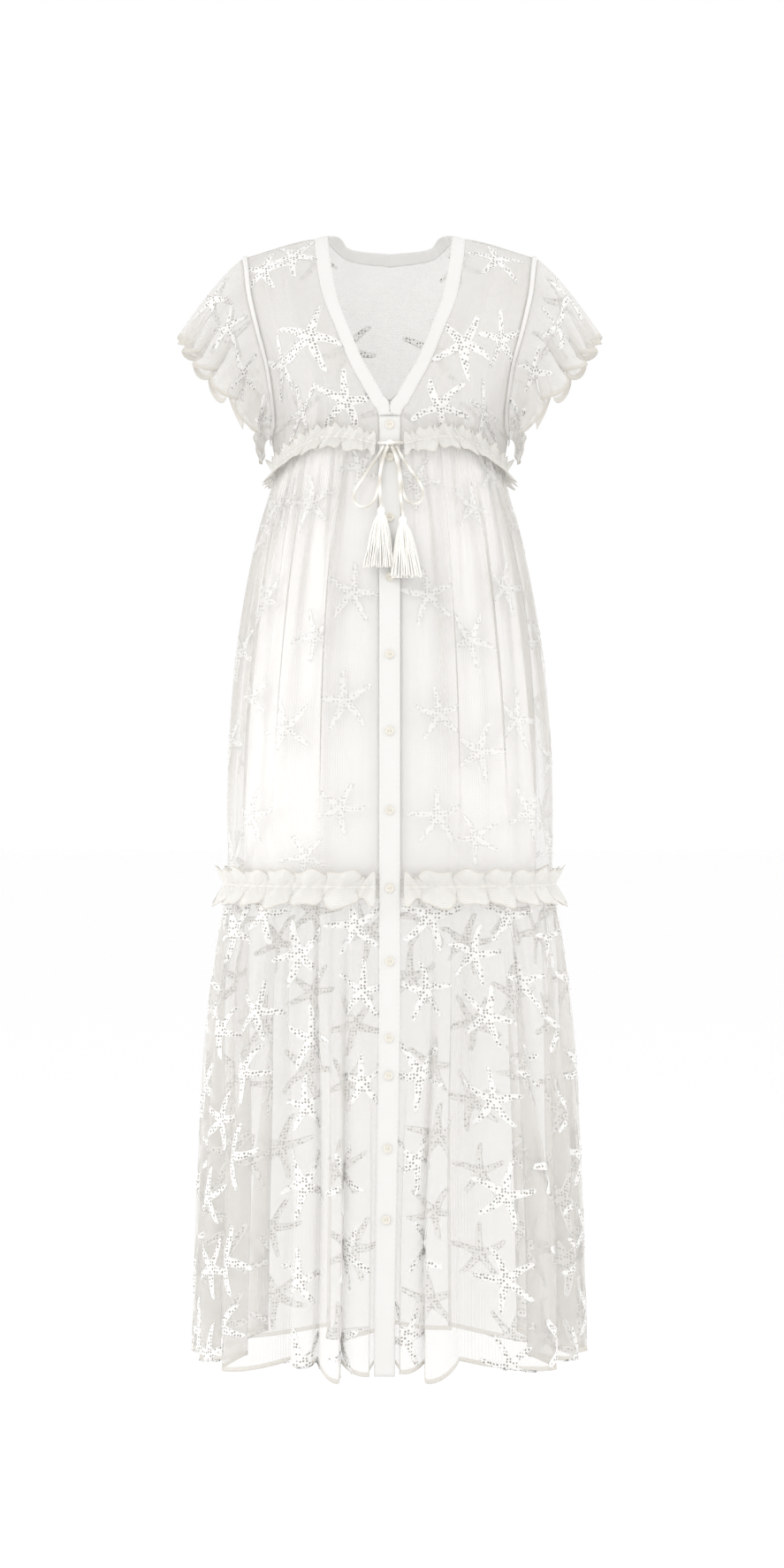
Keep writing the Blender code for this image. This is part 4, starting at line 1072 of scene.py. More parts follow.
def stripGrid(firsts, seconds, normals, across, crown):
    places = np.empty((across + 1, len(firsts), 3))
    for i in range(across + 1):
        part = i / across
        rise = crown * (1 - (2 * part - 1) ** 2)
        for j, (first, second, normal) in enumerate(zip(firsts, seconds, normals)):
            places[i, j] = first + (second - first) * part + normal * rise
    return places


def neckbandPlaces(panel):
    side = -1 if panel == "frontRight" else 1
    middle = Vector((0, -0.03, -0.05))
    frames = [edgeFrame(panel, 0, 1 + 0.1 * i, middle) for i in range(81)]
    tipLevel = -bands["topDrop"] + gap
    tipAcross = bands["neckCrossing"] if side < 0 else bands["neckCrossing"] + 2 * gap
    firsts = [Vector((side * (halfPlacket + 2 * gap), frames[0][0].y, tipLevel))]
    seconds = [Vector((tipAcross, frames[0][0].y, tipLevel))]
    for place, normal, off in frames:
        inner = place + off * (gap + bands["neckWidth"])
        inner.x = side * max(side * inner.x, gap)
        firsts.append(place + off * gap)
        seconds.append(inner)
    return firsts, seconds, [frames[0][1]] + [frame[1] for frame in frames]


def backNeckbandPlaces():
    firsts, seconds, normals = [], [], []
    for i in range(81):
        fraction = 1 / 6 + (2 / 3) * i / 80
        place = bodicePoint("back", fraction, shoulderRow)
        nearShoulder = abs(3 * fraction - 1.5) ** 2
        rise = (place - bodicePoint("back", fraction, shoulderRow - 9 * step)).normalized()
        inward = Vector((math.copysign(1, -place.x), 0, 0.25))
        off = (rise * (1 - nearShoulder) + inward * nearShoulder).normalized()
        for line, reach in ((firsts, gap), (seconds, gap + bands["neckWidth"])):
            base = place + off * reach
            base.y = max(base.y, halfGap)
            line.append(base)
        normals.append(bodiceNormal("back", fraction, shoulderRow))
    return firsts, seconds, normals


stitchLines = []


def sampleLine(places, part):
    at = part * (places.shape[0] - 1)
    i = min(int(at), places.shape[0] - 2)
    return places[i] * (1 - at + i) + places[i + 1] * (at - i)


neckLine = bands["edgeStitchIn"] / bands["neckWidth"]
for panel, name, node in (
    ("frontRight", "neckbandRight", "neckband_right"),
    ("frontLeft", "neckbandLeft", "neckband_left"),
    ("back", "neckbandBack", "neckband_back"),
):
    firsts, seconds, normals = backNeckbandPlaces() if panel == "back" else neckbandPlaces(panel)
    places = stripGrid(firsts, seconds, normals, 8, 0.0003)
    neckband = gridPiece(name, places, fromBody)
    finishCloth(neckband, poplin, bands["wall"], [node])
    stateCut(neckband, places, "stretched")
    stitchLines.append((sampleLine(places, neckLine), np.array(normals)))
    stitchLines.append((sampleLine(places, 1 - neckLine), np.array(normals)))
for column in (1, 11):
    line = placketPlaces[:, column]
    stitchLines.append((line, np.zeros_like(line) + (0, -1, 0)))


def armholeFrames(side, spacing):
    middle = Vector((side * 0.155, 0, -0.14))
    count = round((shoulderRow - underarmRow) / spacing)
    rows = [underarmRow + (shoulderRow - underarmRow) * i / count for i in range(count + 1)]
    front = "frontRight" if side < 0 else "frontLeft"
    spots = [(front, 1, row) for row in reversed(rows)]
    spots += [("back", 1 if side < 0 else 0, row) for row in rows[1:-1]]
    return [(*spot, *edgeFrame(*spot, middle)) for spot in spots]


# The place on the bodice nearest to a target, found from a place near it
def slideTo(panel, fraction, row, target):
    for _ in range(5):
        place = bodicePoint(panel, fraction, row)
        inward = step if fraction < 0.5 else -step
        across = (bodicePoint(panel, fraction + inward, row) - place) / inward
        along = (bodicePoint(panel, fraction, row - 10 * step) - place) / (-10 * step)
        both = across.dot(along)
        spread = across.dot(across) * along.dot(along) - both * both
        move = target - place
        fraction += (move.dot(across) * along.dot(along) - move.dot(along) * both) / spread
        row += (move.dot(along) * across.dot(across) - move.dot(across) * both) / spread
        fraction = min(max(fraction, 0), 1)
        row = min(max(row, 0), shoulderRow)
    return bodicePoint(panel, fraction, row)


def bindingPlaces(side):
    outer, inner, normals = [], [], []
    for panel, fraction, row, place, normal, off in armholeFrames(side, 0.2):
        height = (row - underarmRow) / (shoulderRow - underarmRow)
        lift = bands["bindingLift"] + 0.0004 * (2 * height - 1) ** 4 + 0.0009
        inside = slideTo(panel, fraction, row, place - off * bands["bindingWidth"])
        outer.append(place + normal * lift)
        inner.append(inside + normal * lift)
        normals.append(normal)
    return stripGrid(outer + outer[:1], inner + inner[:1], normals + normals[:1], 5, 0.0002)


for side, name, node in (
    (-1, "bindingRight", "armhole_binding_right"),
    (1, "bindingLeft", "armhole_binding_left"),
):
    places = bindingPlaces(side)
    binding = gridPiece(name, places, fromBody, ring=True)
    finishCloth(binding, poplin, 0.0008, [node])
    length = clothSizes(places)[0]  # cut twice as wide as it shows, and folded
print("bands sewn")

# Bodice

bodiceCloth = {
    "wall": 0.0004,
    "frontColumns": 74,
    "backColumns": 130,
    "rows": 66,
    "waistGathers": {"frontRight": 4, "frontLeft": 4, "back": 8},
    "fineGathers": {"frontRight": 11, "frontLeft": 11, "back": 20},
    "gatherDepth": 0.0011,
    "fineDepth": 0.0011,
    # about how wide and long each panel is, for its creases
    "sizes": {"frontRight": (0.17, 0.30), "frontLeft": (0.17, 0.30), "back": (0.36, 0.27)},
}
bodiceCreases = {
    "frontRight": (
        (0.20, 0.02, 0.26, 0.44, 0.0060, 0.0016),
        (0.33, 0.01, 0.40, 0.36, 0.0050, -0.0015),
        (0.46, 0.03, 0.50, 0.50, 0.0070, 0.0018),
        (0.60, 0.02, 0.63, 0.30, 0.0050, -0.0014),
        (0.72, 0.04, 0.80, 0.55, 0.0060, 0.0016),
        (0.86, 0.10, 0.90, 0.74, 0.0055, -0.0016),
        (0.78, 0.42, 0.70, 0.86, 0.0080, 0.0014),
        (0.52, 0.70, 0.36, 0.97, 0.0070, -0.0012),
    ),
    "frontLeft": (
        (0.16, 0.03, 0.21, 0.38, 0.0055, -0.0014),
        (0.27, 0.02, 0.36, 0.47, 0.0060, 0.0017),
        (0.43, 0.01, 0.44, 0.33, 0.0050, -0.0015),
        (0.55, 0.03, 0.60, 0.52, 0.0070, 0.0017),
        (0.70, 0.02, 0.74, 0.35, 0.0050, -0.0014),
        (0.84, 0.06, 0.91, 0.66, 0.0060, 0.0015),
        (0.82, 0.50, 0.72, 0.90, 0.0075, -0.0013),
        (0.46, 0.66, 0.30, 0.95, 0.0070, 0.0012),
    ),
    "back": (
        (0.08, 0.05, 0.11, 0.60, 0.0065, 0.0016),
        (0.17, 0.02, 0.20, 0.40, 0.0060, -0.0015),
        (0.26, 0.03, 0.28, 0.55, 0.0080, 0.0017),
        (0.36, 0.01, 0.37, 0.34, 0.0060, -0.0014),
        (0.45, 0.03, 0.46, 0.48, 0.0075, 0.0015),
        (0.55, 0.02, 0.54, 0.42, 0.0065, -0.0015),
        (0.64, 0.02, 0.63, 0.52, 0.0075, 0.0016),
        (0.74, 0.01, 0.71, 0.36, 0.0060, -0.0014),
        (0.83, 0.03, 0.80, 0.58, 0.0075, 0.0016),
        (0.92, 0.05, 0.89, 0.62, 0.0060, -0.0014),
    ),
}


def bodiceSurface(panel):
    waves = bodiceCloth["waistGathers"][panel]
    fine = bodiceCloth["fineGathers"][panel]
    size = bodiceCloth["sizes"][panel]

    def placeAt(fraction, share):
        place = bodicePoint(panel, fraction, share * shoulderRow)
        edges = math.sin(math.pi * min(max(fraction, 0), 1))
        out = bodiceCloth["gatherDepth"] * (1 - share) ** 2 * edges * math.cos(2 * math.pi * waves * fraction)
        wander = fraction + 0.012 * math.sin(7 * fraction + 5 * share)
        out += bodiceCloth["fineDepth"] * (1 - share) ** 3 * edges * math.cos(2 * math.pi * fine * wander)
        out += creaseLift(bodiceCreases[panel], fraction, share, *size) * min(1, 4 * edges)
        outward = Vector((place.x, place.y, 0)).normalized()
        return place + outward * out - outward * setBack

    return placeAt


def titled(name):
    return name[0].upper() + name[1:]


panelNodes = {"frontRight": "front_right", "frontLeft": "front_left", "back": "back"}
netGrids = {}
for panel, node in panelNodes.items():
    name = "bodice" + titled(panel)
    columns = bodiceCloth["backColumns" if panel == "back" else "frontColumns"]
    places = surfaceGrid(bodiceSurface(panel), columns, bodiceCloth["rows"])
    netGrids[name] = places
    # pulled together by the gathers, it hides more towards the waist
    layers = np.repeat(0.4 + 0.5 * np.linspace(1, 0, places.shape[0])[:, None] ** 2, places.shape[1], axis=1)
    layers[:, :2] += 0.8  # seam allowances show through as a second layer
    layers[:, -2:] += 0.8
    bodice = gridPiece(name, places, fromBody, layers=layers)
    finishCloth(bodice, tulle, bodiceCloth["wall"], ["bodice_" + node])
print("bodice ready")

# Flutter sleeves

sleeveCloth = {
    "wall": 0.0005,
    "waves": 12,
    "crowding": 0.45,  # the flutes are narrower towards the underarm
    "columnsPerWave": 20,
    "rows": 30,
    "hem": 0.0030,
    "lean": 0.55,  # how far a flute's sides overhang its root
    "dip": 0.85,  # and how much lower its front hangs
    "smallWaves": 37,
    "smallFlute": 0.0010,
}
# row of the bodice, then the hem's x, y towards the front, z and depth of flute
sleeveHem = (
    (2, 0.1580, 0.000, -0.263, 0.010),
    (3, 0.1600, 0.046, -0.256, 0.016),
    (4, 0.1660, 0.077, -0.243, 0.020),
    (5, 0.1850, 0.094, -0.213, 0.022),
    (6, 0.2050, 0.086, -0.182, 0.021),
    (7, 0.2250, 0.058, -0.153, 0.018),
    (8, 0.2350, 0.031, -0.139, 0.015),
    (9, 0.2405, 0.000, -0.129, 0.012),
)
hemColumns = list(zip(*sleeveHem))


# Frames evenly spaced round the armhole
def spacedFrames(side, count):
    frames = [(row, place, normal, off) for _, _, row, place, normal, off in armholeFrames(side, 0.25)]
    loop = frames + frames[:1]
    lengths = runLengths([frame[1] for frame in loop])
    spaced = []
    for i in range(count):
        target = lengths[-1] * i / count
        k = bisect_right(lengths, target) - 1
        part = (target - lengths[k]) / (lengths[k + 1] - lengths[k])
        spaced.append([a + (b - a) * part for a, b in zip(loop[k], loop[k + 1])])
    return spaced


# The cloth falls from the armhole to the hem on drooping curves that swell into flutes lower down
def sleevePlaces(side):
    count = sleeveCloth["waves"] * sleeveCloth["columnsPerWave"]
    threads = []
    for row, place, normal, off in spacedFrames(side, count):
        facing = 1 if place.y > 0 else -1
        x, forward, z, flute = [smoothCurve(hemColumns[0], values, row) for values in hemColumns[1:]]
        hem = Vector((side * x, facing * forward, z))
        height = (row - underarmRow) / (shoulderRow - underarmRow)
        first = place + off.normalized() * (0.0012 + 0.0009 * (1 - height) ** 4)
        rise = 0.8 * (1 - height) ** 4 - 0.75 * height**2
        way = Vector((side, 0.5 * facing * math.sin(math.pi * height), rise)).normalized()
        bend = first + way * (hem - first).length * (0.4 - 0.08 * height)
        threads.append((first, bend, hem, flute, height))

    def middleAt(column, share):
        first, bend, hem = threads[column % count][:3]
        return first * (1 - share) ** 2 + bend * (2 * share * (1 - share)) + hem * share**2

    rows = sleeveCloth["rows"]
    length = np.mean([(hem - first).length for first, _, hem, _, _ in threads])
    hemShare = sleeveCloth["hem"] / length
    shares = hemmedShares(rows, hemShare)
    places = np.empty((rows + 1, count + 1, 3))
    for i, share in enumerate(shares):
        for j in range(count):
            flute, height = threads[j][3:]
            across = middleAt(j + 3, share) - middleAt(j - 3, share)
            along = middleAt(j, min(share + 0.05, 1)) - middleAt(j, max(share - 0.05, 0))
            out = across.cross(along).normalized() * side
            along = along.normalized()
            around = j / count
            crowded = around + sleeveCloth["crowding"] * math.sin(2 * math.pi * around) / (2 * math.pi)
            turn = 2 * math.pi * sleeveCloth["waves"] * crowded + 0.5 * math.sin(9 * around)
            low = (1 - height) ** 0.7
            swell = flute * share**2 * (0.5 + 0.5 * math.cos(turn))
            small = 2 * math.pi * sleeveCloth["smallWaves"] * j / count
            swell += sleeveCloth["smallFlute"] * share**3 * (0.35 + 0.65 * low) * math.cos(small + 0.7)
            lean = sleeveCloth["lean"] * flute * share**2 * math.sin(turn) * (0.35 + 0.65 * low)
            dip = sleeveCloth["dip"] * flute * share**3 * math.cos(turn + 0.6) * low
            places[i, j] = middleAt(j, share) + out * swell + across.normalized() * lean + along * dip
    places[:, count] = places[:, 0]
    return places


for side, name, node in ((-1, "sleeveRight", "sleeve_right"), (1, "sleeveLeft", "sleeve_left")):
    places = sleevePlaces(side)
    netGrids[name] = places
    layers = np.zeros(places.shape[:2])
    layers[-3:, :] += 3
    layers[:2, :] += 1.0

    def fromArmhole(found, side=side):
        return unit(found - (side * 0.13, 0, -0.19))

    sleeve = gridPiece(name, places, fromArmhole, ring=True, layers=layers, hems=(0, 3))
    finishCloth(sleeve, tulle, sleeveCloth["wall"], [node])
print("sleeves ready")

# Skirts

skirtCloth = {
    "wall": 0.0004,
    "upperGathers": 9,
    "lowerGathers": 8,
    "upperColumns": 18,  # per gather
    "lowerColumns": 21,
    "upperRows": 44,
    "lowerRows": 54,
    # about how wide and long the panels are, for their creases and folds
    "upperSizes": {"frontRight": (0.27, 0.5), "frontLeft": (0.27, 0.5), "back": (0.55, 0.5)},
    "lowerWidths": {"frontRight": 0.31, "frontLeft": 0.31, "back": 0.62},
    "hem": 0.0052,
    "broadFold": 0.0048,
    "foldWeights": (0.7, 1.2, 0.8, 1.3, 0.6, 1.0, 1.2),
    "fineGathers": 23,
    "fineDepth": 0.0005,
    "upperFolds": 1.4,  # the upper skirt's hanging folds are that much higher than their table
    "valleyRise": 0.014,  # the hem is drawn up where the cloth falls back between two lobes
    "foldEdge": 0.0035,
}
# Pressed-looking folds that start at a seam: across, lean, reach down, height, and the width of the slow side
# (plus or minus: which way it faces)
hangingFolds = {
    "upperSkirtFrontRight": (
        (0.06, 0.02, 0.62, 0.0022, 0.014), (0.14, 0.01, 0.36, 0.0017, -0.010),
        (0.22, 0.03, 0.98, 0.0030, 0.018), (0.31, 0.02, 0.44, 0.0019, 0.011),
        (0.38, 0.04, 0.80, 0.0027, -0.016), (0.47, 0.02, 0.52, 0.0020, 0.012),
        (0.55, 0.05, 1.05, 0.0031, 0.020), (0.64, 0.02, 0.40, 0.0020, -0.011),
        (0.72, 0.04, 0.88, 0.0027, 0.017), (0.80, 0.02, 0.56, 0.0020, -0.012),
        (0.89, 0.03, 0.92, 0.0026, 0.015),
    ),
    "upperSkirtFrontLeft": (
        (0.08, 0.02, 0.48, 0.0019, -0.012), (0.16, 0.03, 1.02, 0.0029, -0.018),
        (0.25, 0.01, 0.38, 0.0018, 0.010), (0.33, 0.03, 0.74, 0.0026, -0.016),
        (0.41, 0.02, 0.46, 0.0020, 0.012), (0.50, 0.05, 0.96, 0.0031, -0.019),
        (0.58, 0.02, 0.58, 0.0021, -0.012), (0.67, 0.04, 0.86, 0.0027, 0.016),
        (0.76, 0.02, 0.42, 0.0019, -0.011), (0.84, 0.04, 1.00, 0.0028, -0.017),
        (0.93, 0.02, 0.60, 0.0020, 0.012),
    ),
    "upperSkirtBack": (
        (0.04, 0.01, 0.55, 0.0020, 0.012), (0.09, 0.02, 0.95, 0.0028, -0.017),
        (0.14, 0.01, 0.40, 0.0018, 0.010), (0.19, 0.02, 0.82, 0.0026, 0.016),
        (0.25, 0.01, 0.50, 0.0020, -0.012), (0.30, 0.02, 1.02, 0.0030, 0.019),
        (0.36, 0.01, 0.44, 0.0019, -0.011), (0.41, 0.01, 0.76, 0.0026, 0.015),
        (0.46, 0.00, 0.58, 0.0021, 0.012), (0.52, 0.00, 1.00, 0.0030, -0.018),
        (0.57, -0.01, 0.42, 0.0019, 0.011), (0.63, -0.02, 0.88, 0.0027, -0.016),
        (0.68, -0.01, 0.52, 0.0020, 0.012), (0.74, -0.02, 0.98, 0.0029, -0.018),
        (0.80, -0.01, 0.46, 0.0019, 0.011), (0.85, -0.02, 0.84, 0.0026, -0.016),
        (0.91, -0.02, 0.60, 0.0021, 0.012), (0.96, -0.01, 0.90, 0.0025, -0.014),
    ),
    "lowerSkirtFrontRight": (
        (0.09, 0.01, 0.50, 0.0026, 0.012), (0.19, 0.02, 0.86, 0.0034, -0.016),
        (0.28, 0.01, 0.42, 0.0022, 0.011), (0.37, 0.02, 0.70, 0.0030, 0.015),
        (0.46, 0.01, 0.95, 0.0034, -0.017), (0.56, 0.02, 0.48, 0.0024, 0.012),
        (0.65, 0.02, 0.80, 0.0032, -0.015), (0.74, 0.01, 0.54, 0.0026, 0.013),
        (0.84, 0.02, 0.90, 0.0032, 0.016), (0.93, 0.01, 0.46, 0.0024, -0.012),
    ),
    "lowerSkirtFrontLeft": (
        (0.10, 0.01, 0.84, 0.0032, -0.015), (0.19, 0.02, 0.46, 0.0024, 0.012),
        (0.28, 0.02, 0.92, 0.0034, 0.017), (0.38, 0.01, 0.52, 0.0025, -0.012),
        (0.47, 0.02, 0.76, 0.0031, 0.015), (0.55, 0.01, 0.44, 0.0023, 0.011),
        (0.64, 0.02, 0.90, 0.0033, -0.016), (0.73, 0.01, 0.58, 0.0027, 0.013),
        (0.83, 0.02, 0.80, 0.0032, -0.015), (0.92, 0.01, 0.50, 0.0025, 0.012),
    ),
    "lowerSkirtBack": (
        (0.05, 0.01, 0.80, 0.0031, -0.015), (0.10, 0.01, 0.48, 0.0024, 0.012),
        (0.16, 0.01, 0.92, 0.0034, 0.017), (0.21, 0.01, 0.54, 0.0026, -0.012),
        (0.27, 0.01, 0.76, 0.0031, 0.015), (0.33, 0.01, 0.44, 0.0023, 0.011),
        (0.38, 0.00, 0.88, 0.0033, -0.016), (0.44, 0.00, 0.58, 0.0027, 0.013),
        (0.50, 0.00, 0.95, 0.0034, -0.017), (0.56, 0.00, 0.50, 0.0025, 0.012),
        (0.61, 0.00, 0.84, 0.0032, 0.016), (0.67, -0.01, 0.46, 0.0024, -0.011),
        (0.72, -0.01, 0.78, 0.0031, 0.015), (0.78, -0.01, 0.56, 0.0026, -0.013),
        (0.84, -0.01, 0.90, 0.0033, 0.016), (0.89, -0.01, 0.52, 0.0025, 0.012),
        (0.95, -0.01, 0.82, 0.0031, -0.014),
    ),
}
# share of the way down, depth of the small gathers, depth of the broad folds
upperGrowth = list(zip(*(
    (0, 0.95, 0.0), (0.12, 0.95, 0.18), (0.35, 0.5, 0.9), (0.68, 0.2, 1.0), (0.9, 0.25, 0.6), (1, 0.4, 0.12)
)))
lowerGrowth = list(zip(*(
    (0, 0.55, 0.02), (0.12, 0.9, 0.42), (0.36, 0.5, 0.80), (0.66, 0.3, 0.95), (1, 0.1, 1.0)
)))
# lobes of the hem: where each ends in degrees, its depth, how far its hem is drawn up, and how many gathers
# run into it
hemLobes = {
    "frontRight": (
        (13.6, 0.013, 0.000, 1), (21.3, 0.016, -0.008, 1), (29.8, 0.005, 0.008, 1),
        (51.6, 0.022, -0.003, 2), (70.0, 0.018, 0.003, 2), (90.0, 0.015, 0.008, 1),
    ),
    "frontLeft": (
        (12.3, 0.012, 0.003, 1), (23.5, 0.016, -0.008, 1), (51.2, 0.022, -0.002, 2),
        (70.0, 0.017, 0.004, 2), (90.0, 0.015, 0.008, 2),
    ),
    "back": (
        (114, 0.017, 0.005, 2), (134, 0.014, 0.009, 2), (160, 0.022, -0.003, 2), (178, 0.012, 0.006, 2),
        (200, 0.016, -0.006, 2), (225, 0.021, 0.002, 2), (244, 0.014, 0.009, 2), (270, 0.018, 0.006, 2),
    ),
}
upperCreases = {
    "frontRight": (
        (0.08, 0.03, 0.12, 0.62, 0.0060, 0.0022),
        (0.19, 0.01, 0.22, 0.48, 0.0050, -0.0020),
        (0.31, 0.04, 0.37, 0.88, 0.0085, 0.0026),
        (0.44, 0.02, 0.45, 0.40, 0.0050, -0.0020),
        (0.55, 0.05, 0.61, 0.93, 0.0090, 0.0024),
        (0.67, 0.01, 0.70, 0.52, 0.0060, -0.0022),
        (0.78, 0.10, 0.84, 0.90, 0.0080, 0.0020),
        (0.92, 0.03, 0.94, 0.70, 0.0070, -0.0020),
    ),
    "frontLeft": (
        (0.10, 0.02, 0.13, 0.50, 0.0055, -0.0020),
        (0.20, 0.05, 0.26, 0.86, 0.0080, 0.0024),
        (0.33, 0.01, 0.34, 0.44, 0.0050, -0.0020),
        (0.43, 0.03, 0.50, 0.92, 0.0090, 0.0026),
        (0.57, 0.02, 0.59, 0.56, 0.0055, -0.0022),
        (0.66, 0.08, 0.73, 0.84, 0.0080, 0.0022),
        (0.80, 0.01, 0.82, 0.46, 0.0060, -0.0020),
        (0.90, 0.05, 0.95, 0.88, 0.0075, 0.0020),
    ),
    "back": tuple(
        (at, top, at + lean, low, half, height)
        for at, top, lean, low, half, height in (
            (0.05, 0.03, 0.02, 0.70, 0.0070, -0.0020), (0.11, 0.02, 0.02, 0.92, 0.0090, 0.0024),
            (0.18, 0.01, 0.01, 0.46, 0.0060, -0.0022), (0.24, 0.06, 0.02, 0.84, 0.0085, 0.0022),
            (0.31, 0.02, 0.01, 0.60, 0.0065, -0.0020), (0.38, 0.04, 0.01, 0.95, 0.0095, 0.0026),
            (0.44, 0.01, 0.00, 0.42, 0.0055, -0.0022), (0.50, 0.03, 0.01, 0.80, 0.0080, 0.0020),
            (0.57, 0.01, -0.01, 0.55, 0.0060, -0.0022), (0.63, 0.05, -0.01, 0.90, 0.0090, 0.0025),
            (0.70, 0.02, -0.01, 0.44, 0.0060, -0.0020), (0.77, 0.04, -0.02, 0.86, 0.0085, 0.0023),
            (0.83, 0.01, -0.01, 0.52, 0.0060, -0.0021), (0.89, 0.03, -0.02, 0.94, 0.0090, 0.0024),
            (0.95, 0.03, -0.01, 0.66, 0.0065, -0.0020),
        )
    ),
}


def gathersOf(panel, gathers):
    return gathers * (2 if panel == "back" else 1)


def fineLift(panel, fraction, share, reach):
    count = gathersOf(panel, skirtCloth["fineGathers"])
    wander = fraction + 0.010 * math.sin(9 * fraction + 3 * share)
    held = min(1, 12 * min(fraction, 1 - fraction))
    return skirtCloth["fineDepth"] * max(0, 1 - share / reach) * held * math.cos(2 * math.pi * count * wander)


# A fold rises slowly on its broad side and drops over a narrow edge
def foldLift(name, fraction, share, width):
    lift = 0.0
    for at, lean, reach, height, broad in hangingFolds[name]:
        if share >= reach:
            continue
        away = (fraction - at - lean * share) * width * (1 if broad > 0 else -1)
        fade = min(1, 1.6 * (1 - share / reach)) * min(1, 0.4 + 6 * share)
        if -abs(broad) < away <= 0:
            lift += height * fade * easeInOut(1 + away / abs(broad))
        elif 0 < away < skirtCloth["foldEdge"]:
            lift += height * fade * (1 - away / skirtCloth["foldEdge"])
    return lift


def upperSurface(panel):
    gathers = gathersOf(panel, skirtCloth["upperGathers"])
    size = skirtCloth["upperSizes"][panel]
    weights = skirtCloth["foldWeights"]

    def placeAt(fraction, share):
        top = waistDrop(panelAngle(panel, fraction, waistSeamDrop)) + halfGap
        drop = top + (tierDrop - halfGap - top) * share
        turn = 2 * math.pi * gathers * fraction
        broad = smoothCurve(upperGrowth[0], upperGrowth[2], share)
        edge = min(fraction, 1 - fraction)
        held = min(1, 6 * edge)
        leaning = 0.26 / gathers * math.cos(turn / 2 + 0.6) * broad * held
        wander = 0.012 * math.sin(5 * math.pi * fraction) * share
        angle = panelAngle(panel, fraction + leaning + wander, drop)
        low = math.floor(turn / 2 / math.pi + 0.5)
        weight = weights[low % len(weights)]
        out = gatherDepth * smoothCurve(upperGrowth[0], upperGrowth[1], share) * math.cos(turn)
        out += skirtCloth["broadFold"] * broad * weight * math.cos(turn / 2)
        free = math.sin(math.pi * min(max(share, 0), 1)) ** 0.5
        out += creaseLift(upperCreases[panel], fraction, share, *size) * free * min(1, 14 * edge)
        out += skirtCloth["upperFolds"] * foldLift("upperSkirt" + titled(panel), fraction, share, size[0])
        if panel != "back":
            out *= easeInOut(fraction * gathers / 1.5)
        out += fineLift(panel, fraction, share, 0.6)
        return roundPoint(angle, drop, out - setBack)

    return placeAt


# How far each lobe of the hem leans to one side: the larger ones make the cloth overlap itself there
foldLeans = {
    "frontRight": (-0.34, -0.48, 0.05, 0.58, 0.52, 0.30),
    "frontLeft": (-0.34, -0.46, 0.60, 0.50, 0.30),
    "back": (-0.44, -0.56, -0.50, -0.30, 0.34, 0.50, 0.56, 0.46),
}


def lobeAt(panel, gather, share):
    before, start = 0, 90 if panel == "back" else math.degrees(panelAngle("frontLeft", 0, hemDrop))
    for (degrees, depth, drawnUp, count), lean in zip(hemLobes[panel], foldLeans[panel]):
        if gather <= before + count or degrees == hemLobes[panel][-1][0]:
            part = min(max((gather - before) / count, 0), 1)
            moved = part + lean * math.sin(math.pi * part) * easeInOut(share * 2.2)
            return start + (degrees - start) * moved, part, depth, drawnUp
        before += count
        start = degrees


def lowerSurface(panel):
    gathers = gathersOf(panel, skirtCloth["lowerGathers"])
    width = skirtCloth["lowerWidths"][panel]

    def placeAt(fraction, share):
        degrees, part, depth, drawnUp = lobeAt(panel, min(max(fraction, 0), 1) * gathers, share)
        valley = 1 - math.sin(math.pi * part)
        rise = drawnUp * (1 - valley) + skirtCloth["valleyRise"] * valley**1.5
        drop = tierDrop + halfGap + (hemDrop - rise - tierDrop - halfGap) * share
        even = panelAngle(panel, fraction, drop)
        lobed = math.radians(degrees) * (-1 if panel == "frontRight" else 1)
        inside = easeInOut(min(fraction, 1 - fraction) * gathers * 2)
        angle = even + (lobed - even) * easeInOut(share * 1.3) * inside
        turn = 2 * math.pi * gathers * fraction
        out = gatherDepth * smoothCurve(lowerGrowth[0], lowerGrowth[1], share) * math.cos(turn)
        fold = smoothCurve(lowerGrowth[0], lowerGrowth[2], share)
        out += depth * fold * (math.sin(math.pi * part) ** 0.75 - 0.4 - 0.4 * valley**3)
        out += foldLift("lowerSkirt" + titled(panel), fraction, share, width)
        if panel != "back":
            out *= easeInOut(fraction * gathers / 0.75)
        out += fineLift(panel, fraction, share, 0.5)
        return roundPoint(angle, drop, out - setBack)

    return placeAt


liningCloth = {"wall": 0.0006, "columns": 60, "rows": 32, "gathers": 4, "wave": 0.0016}


def liningSurface(panel):
    gathers = gathersOf(panel, liningCloth["gathers"])

    def placeAt(fraction, share):
        top = waistDrop(panelAngle(panel, fraction, waistSeamDrop)) + gap
        drop = top + (liningHemDrop - top) * share
        inside = -gatherDepth - clothWall - gap
        seam = roundPoint(panelAngle(panel, fraction, drop), drop, inside)
        turn = gathers * 2 * math.pi * fraction
        wave = liningCloth["wave"] * share * math.sin(math.pi * fraction) * math.sin(turn)
        place = roundPoint(panelAngle(panel, fraction, drop, table="lining"), drop, wave - 0.0002, "lining")
        return seam + (place - seam) * easeInOut(share * 5)

    return placeAt


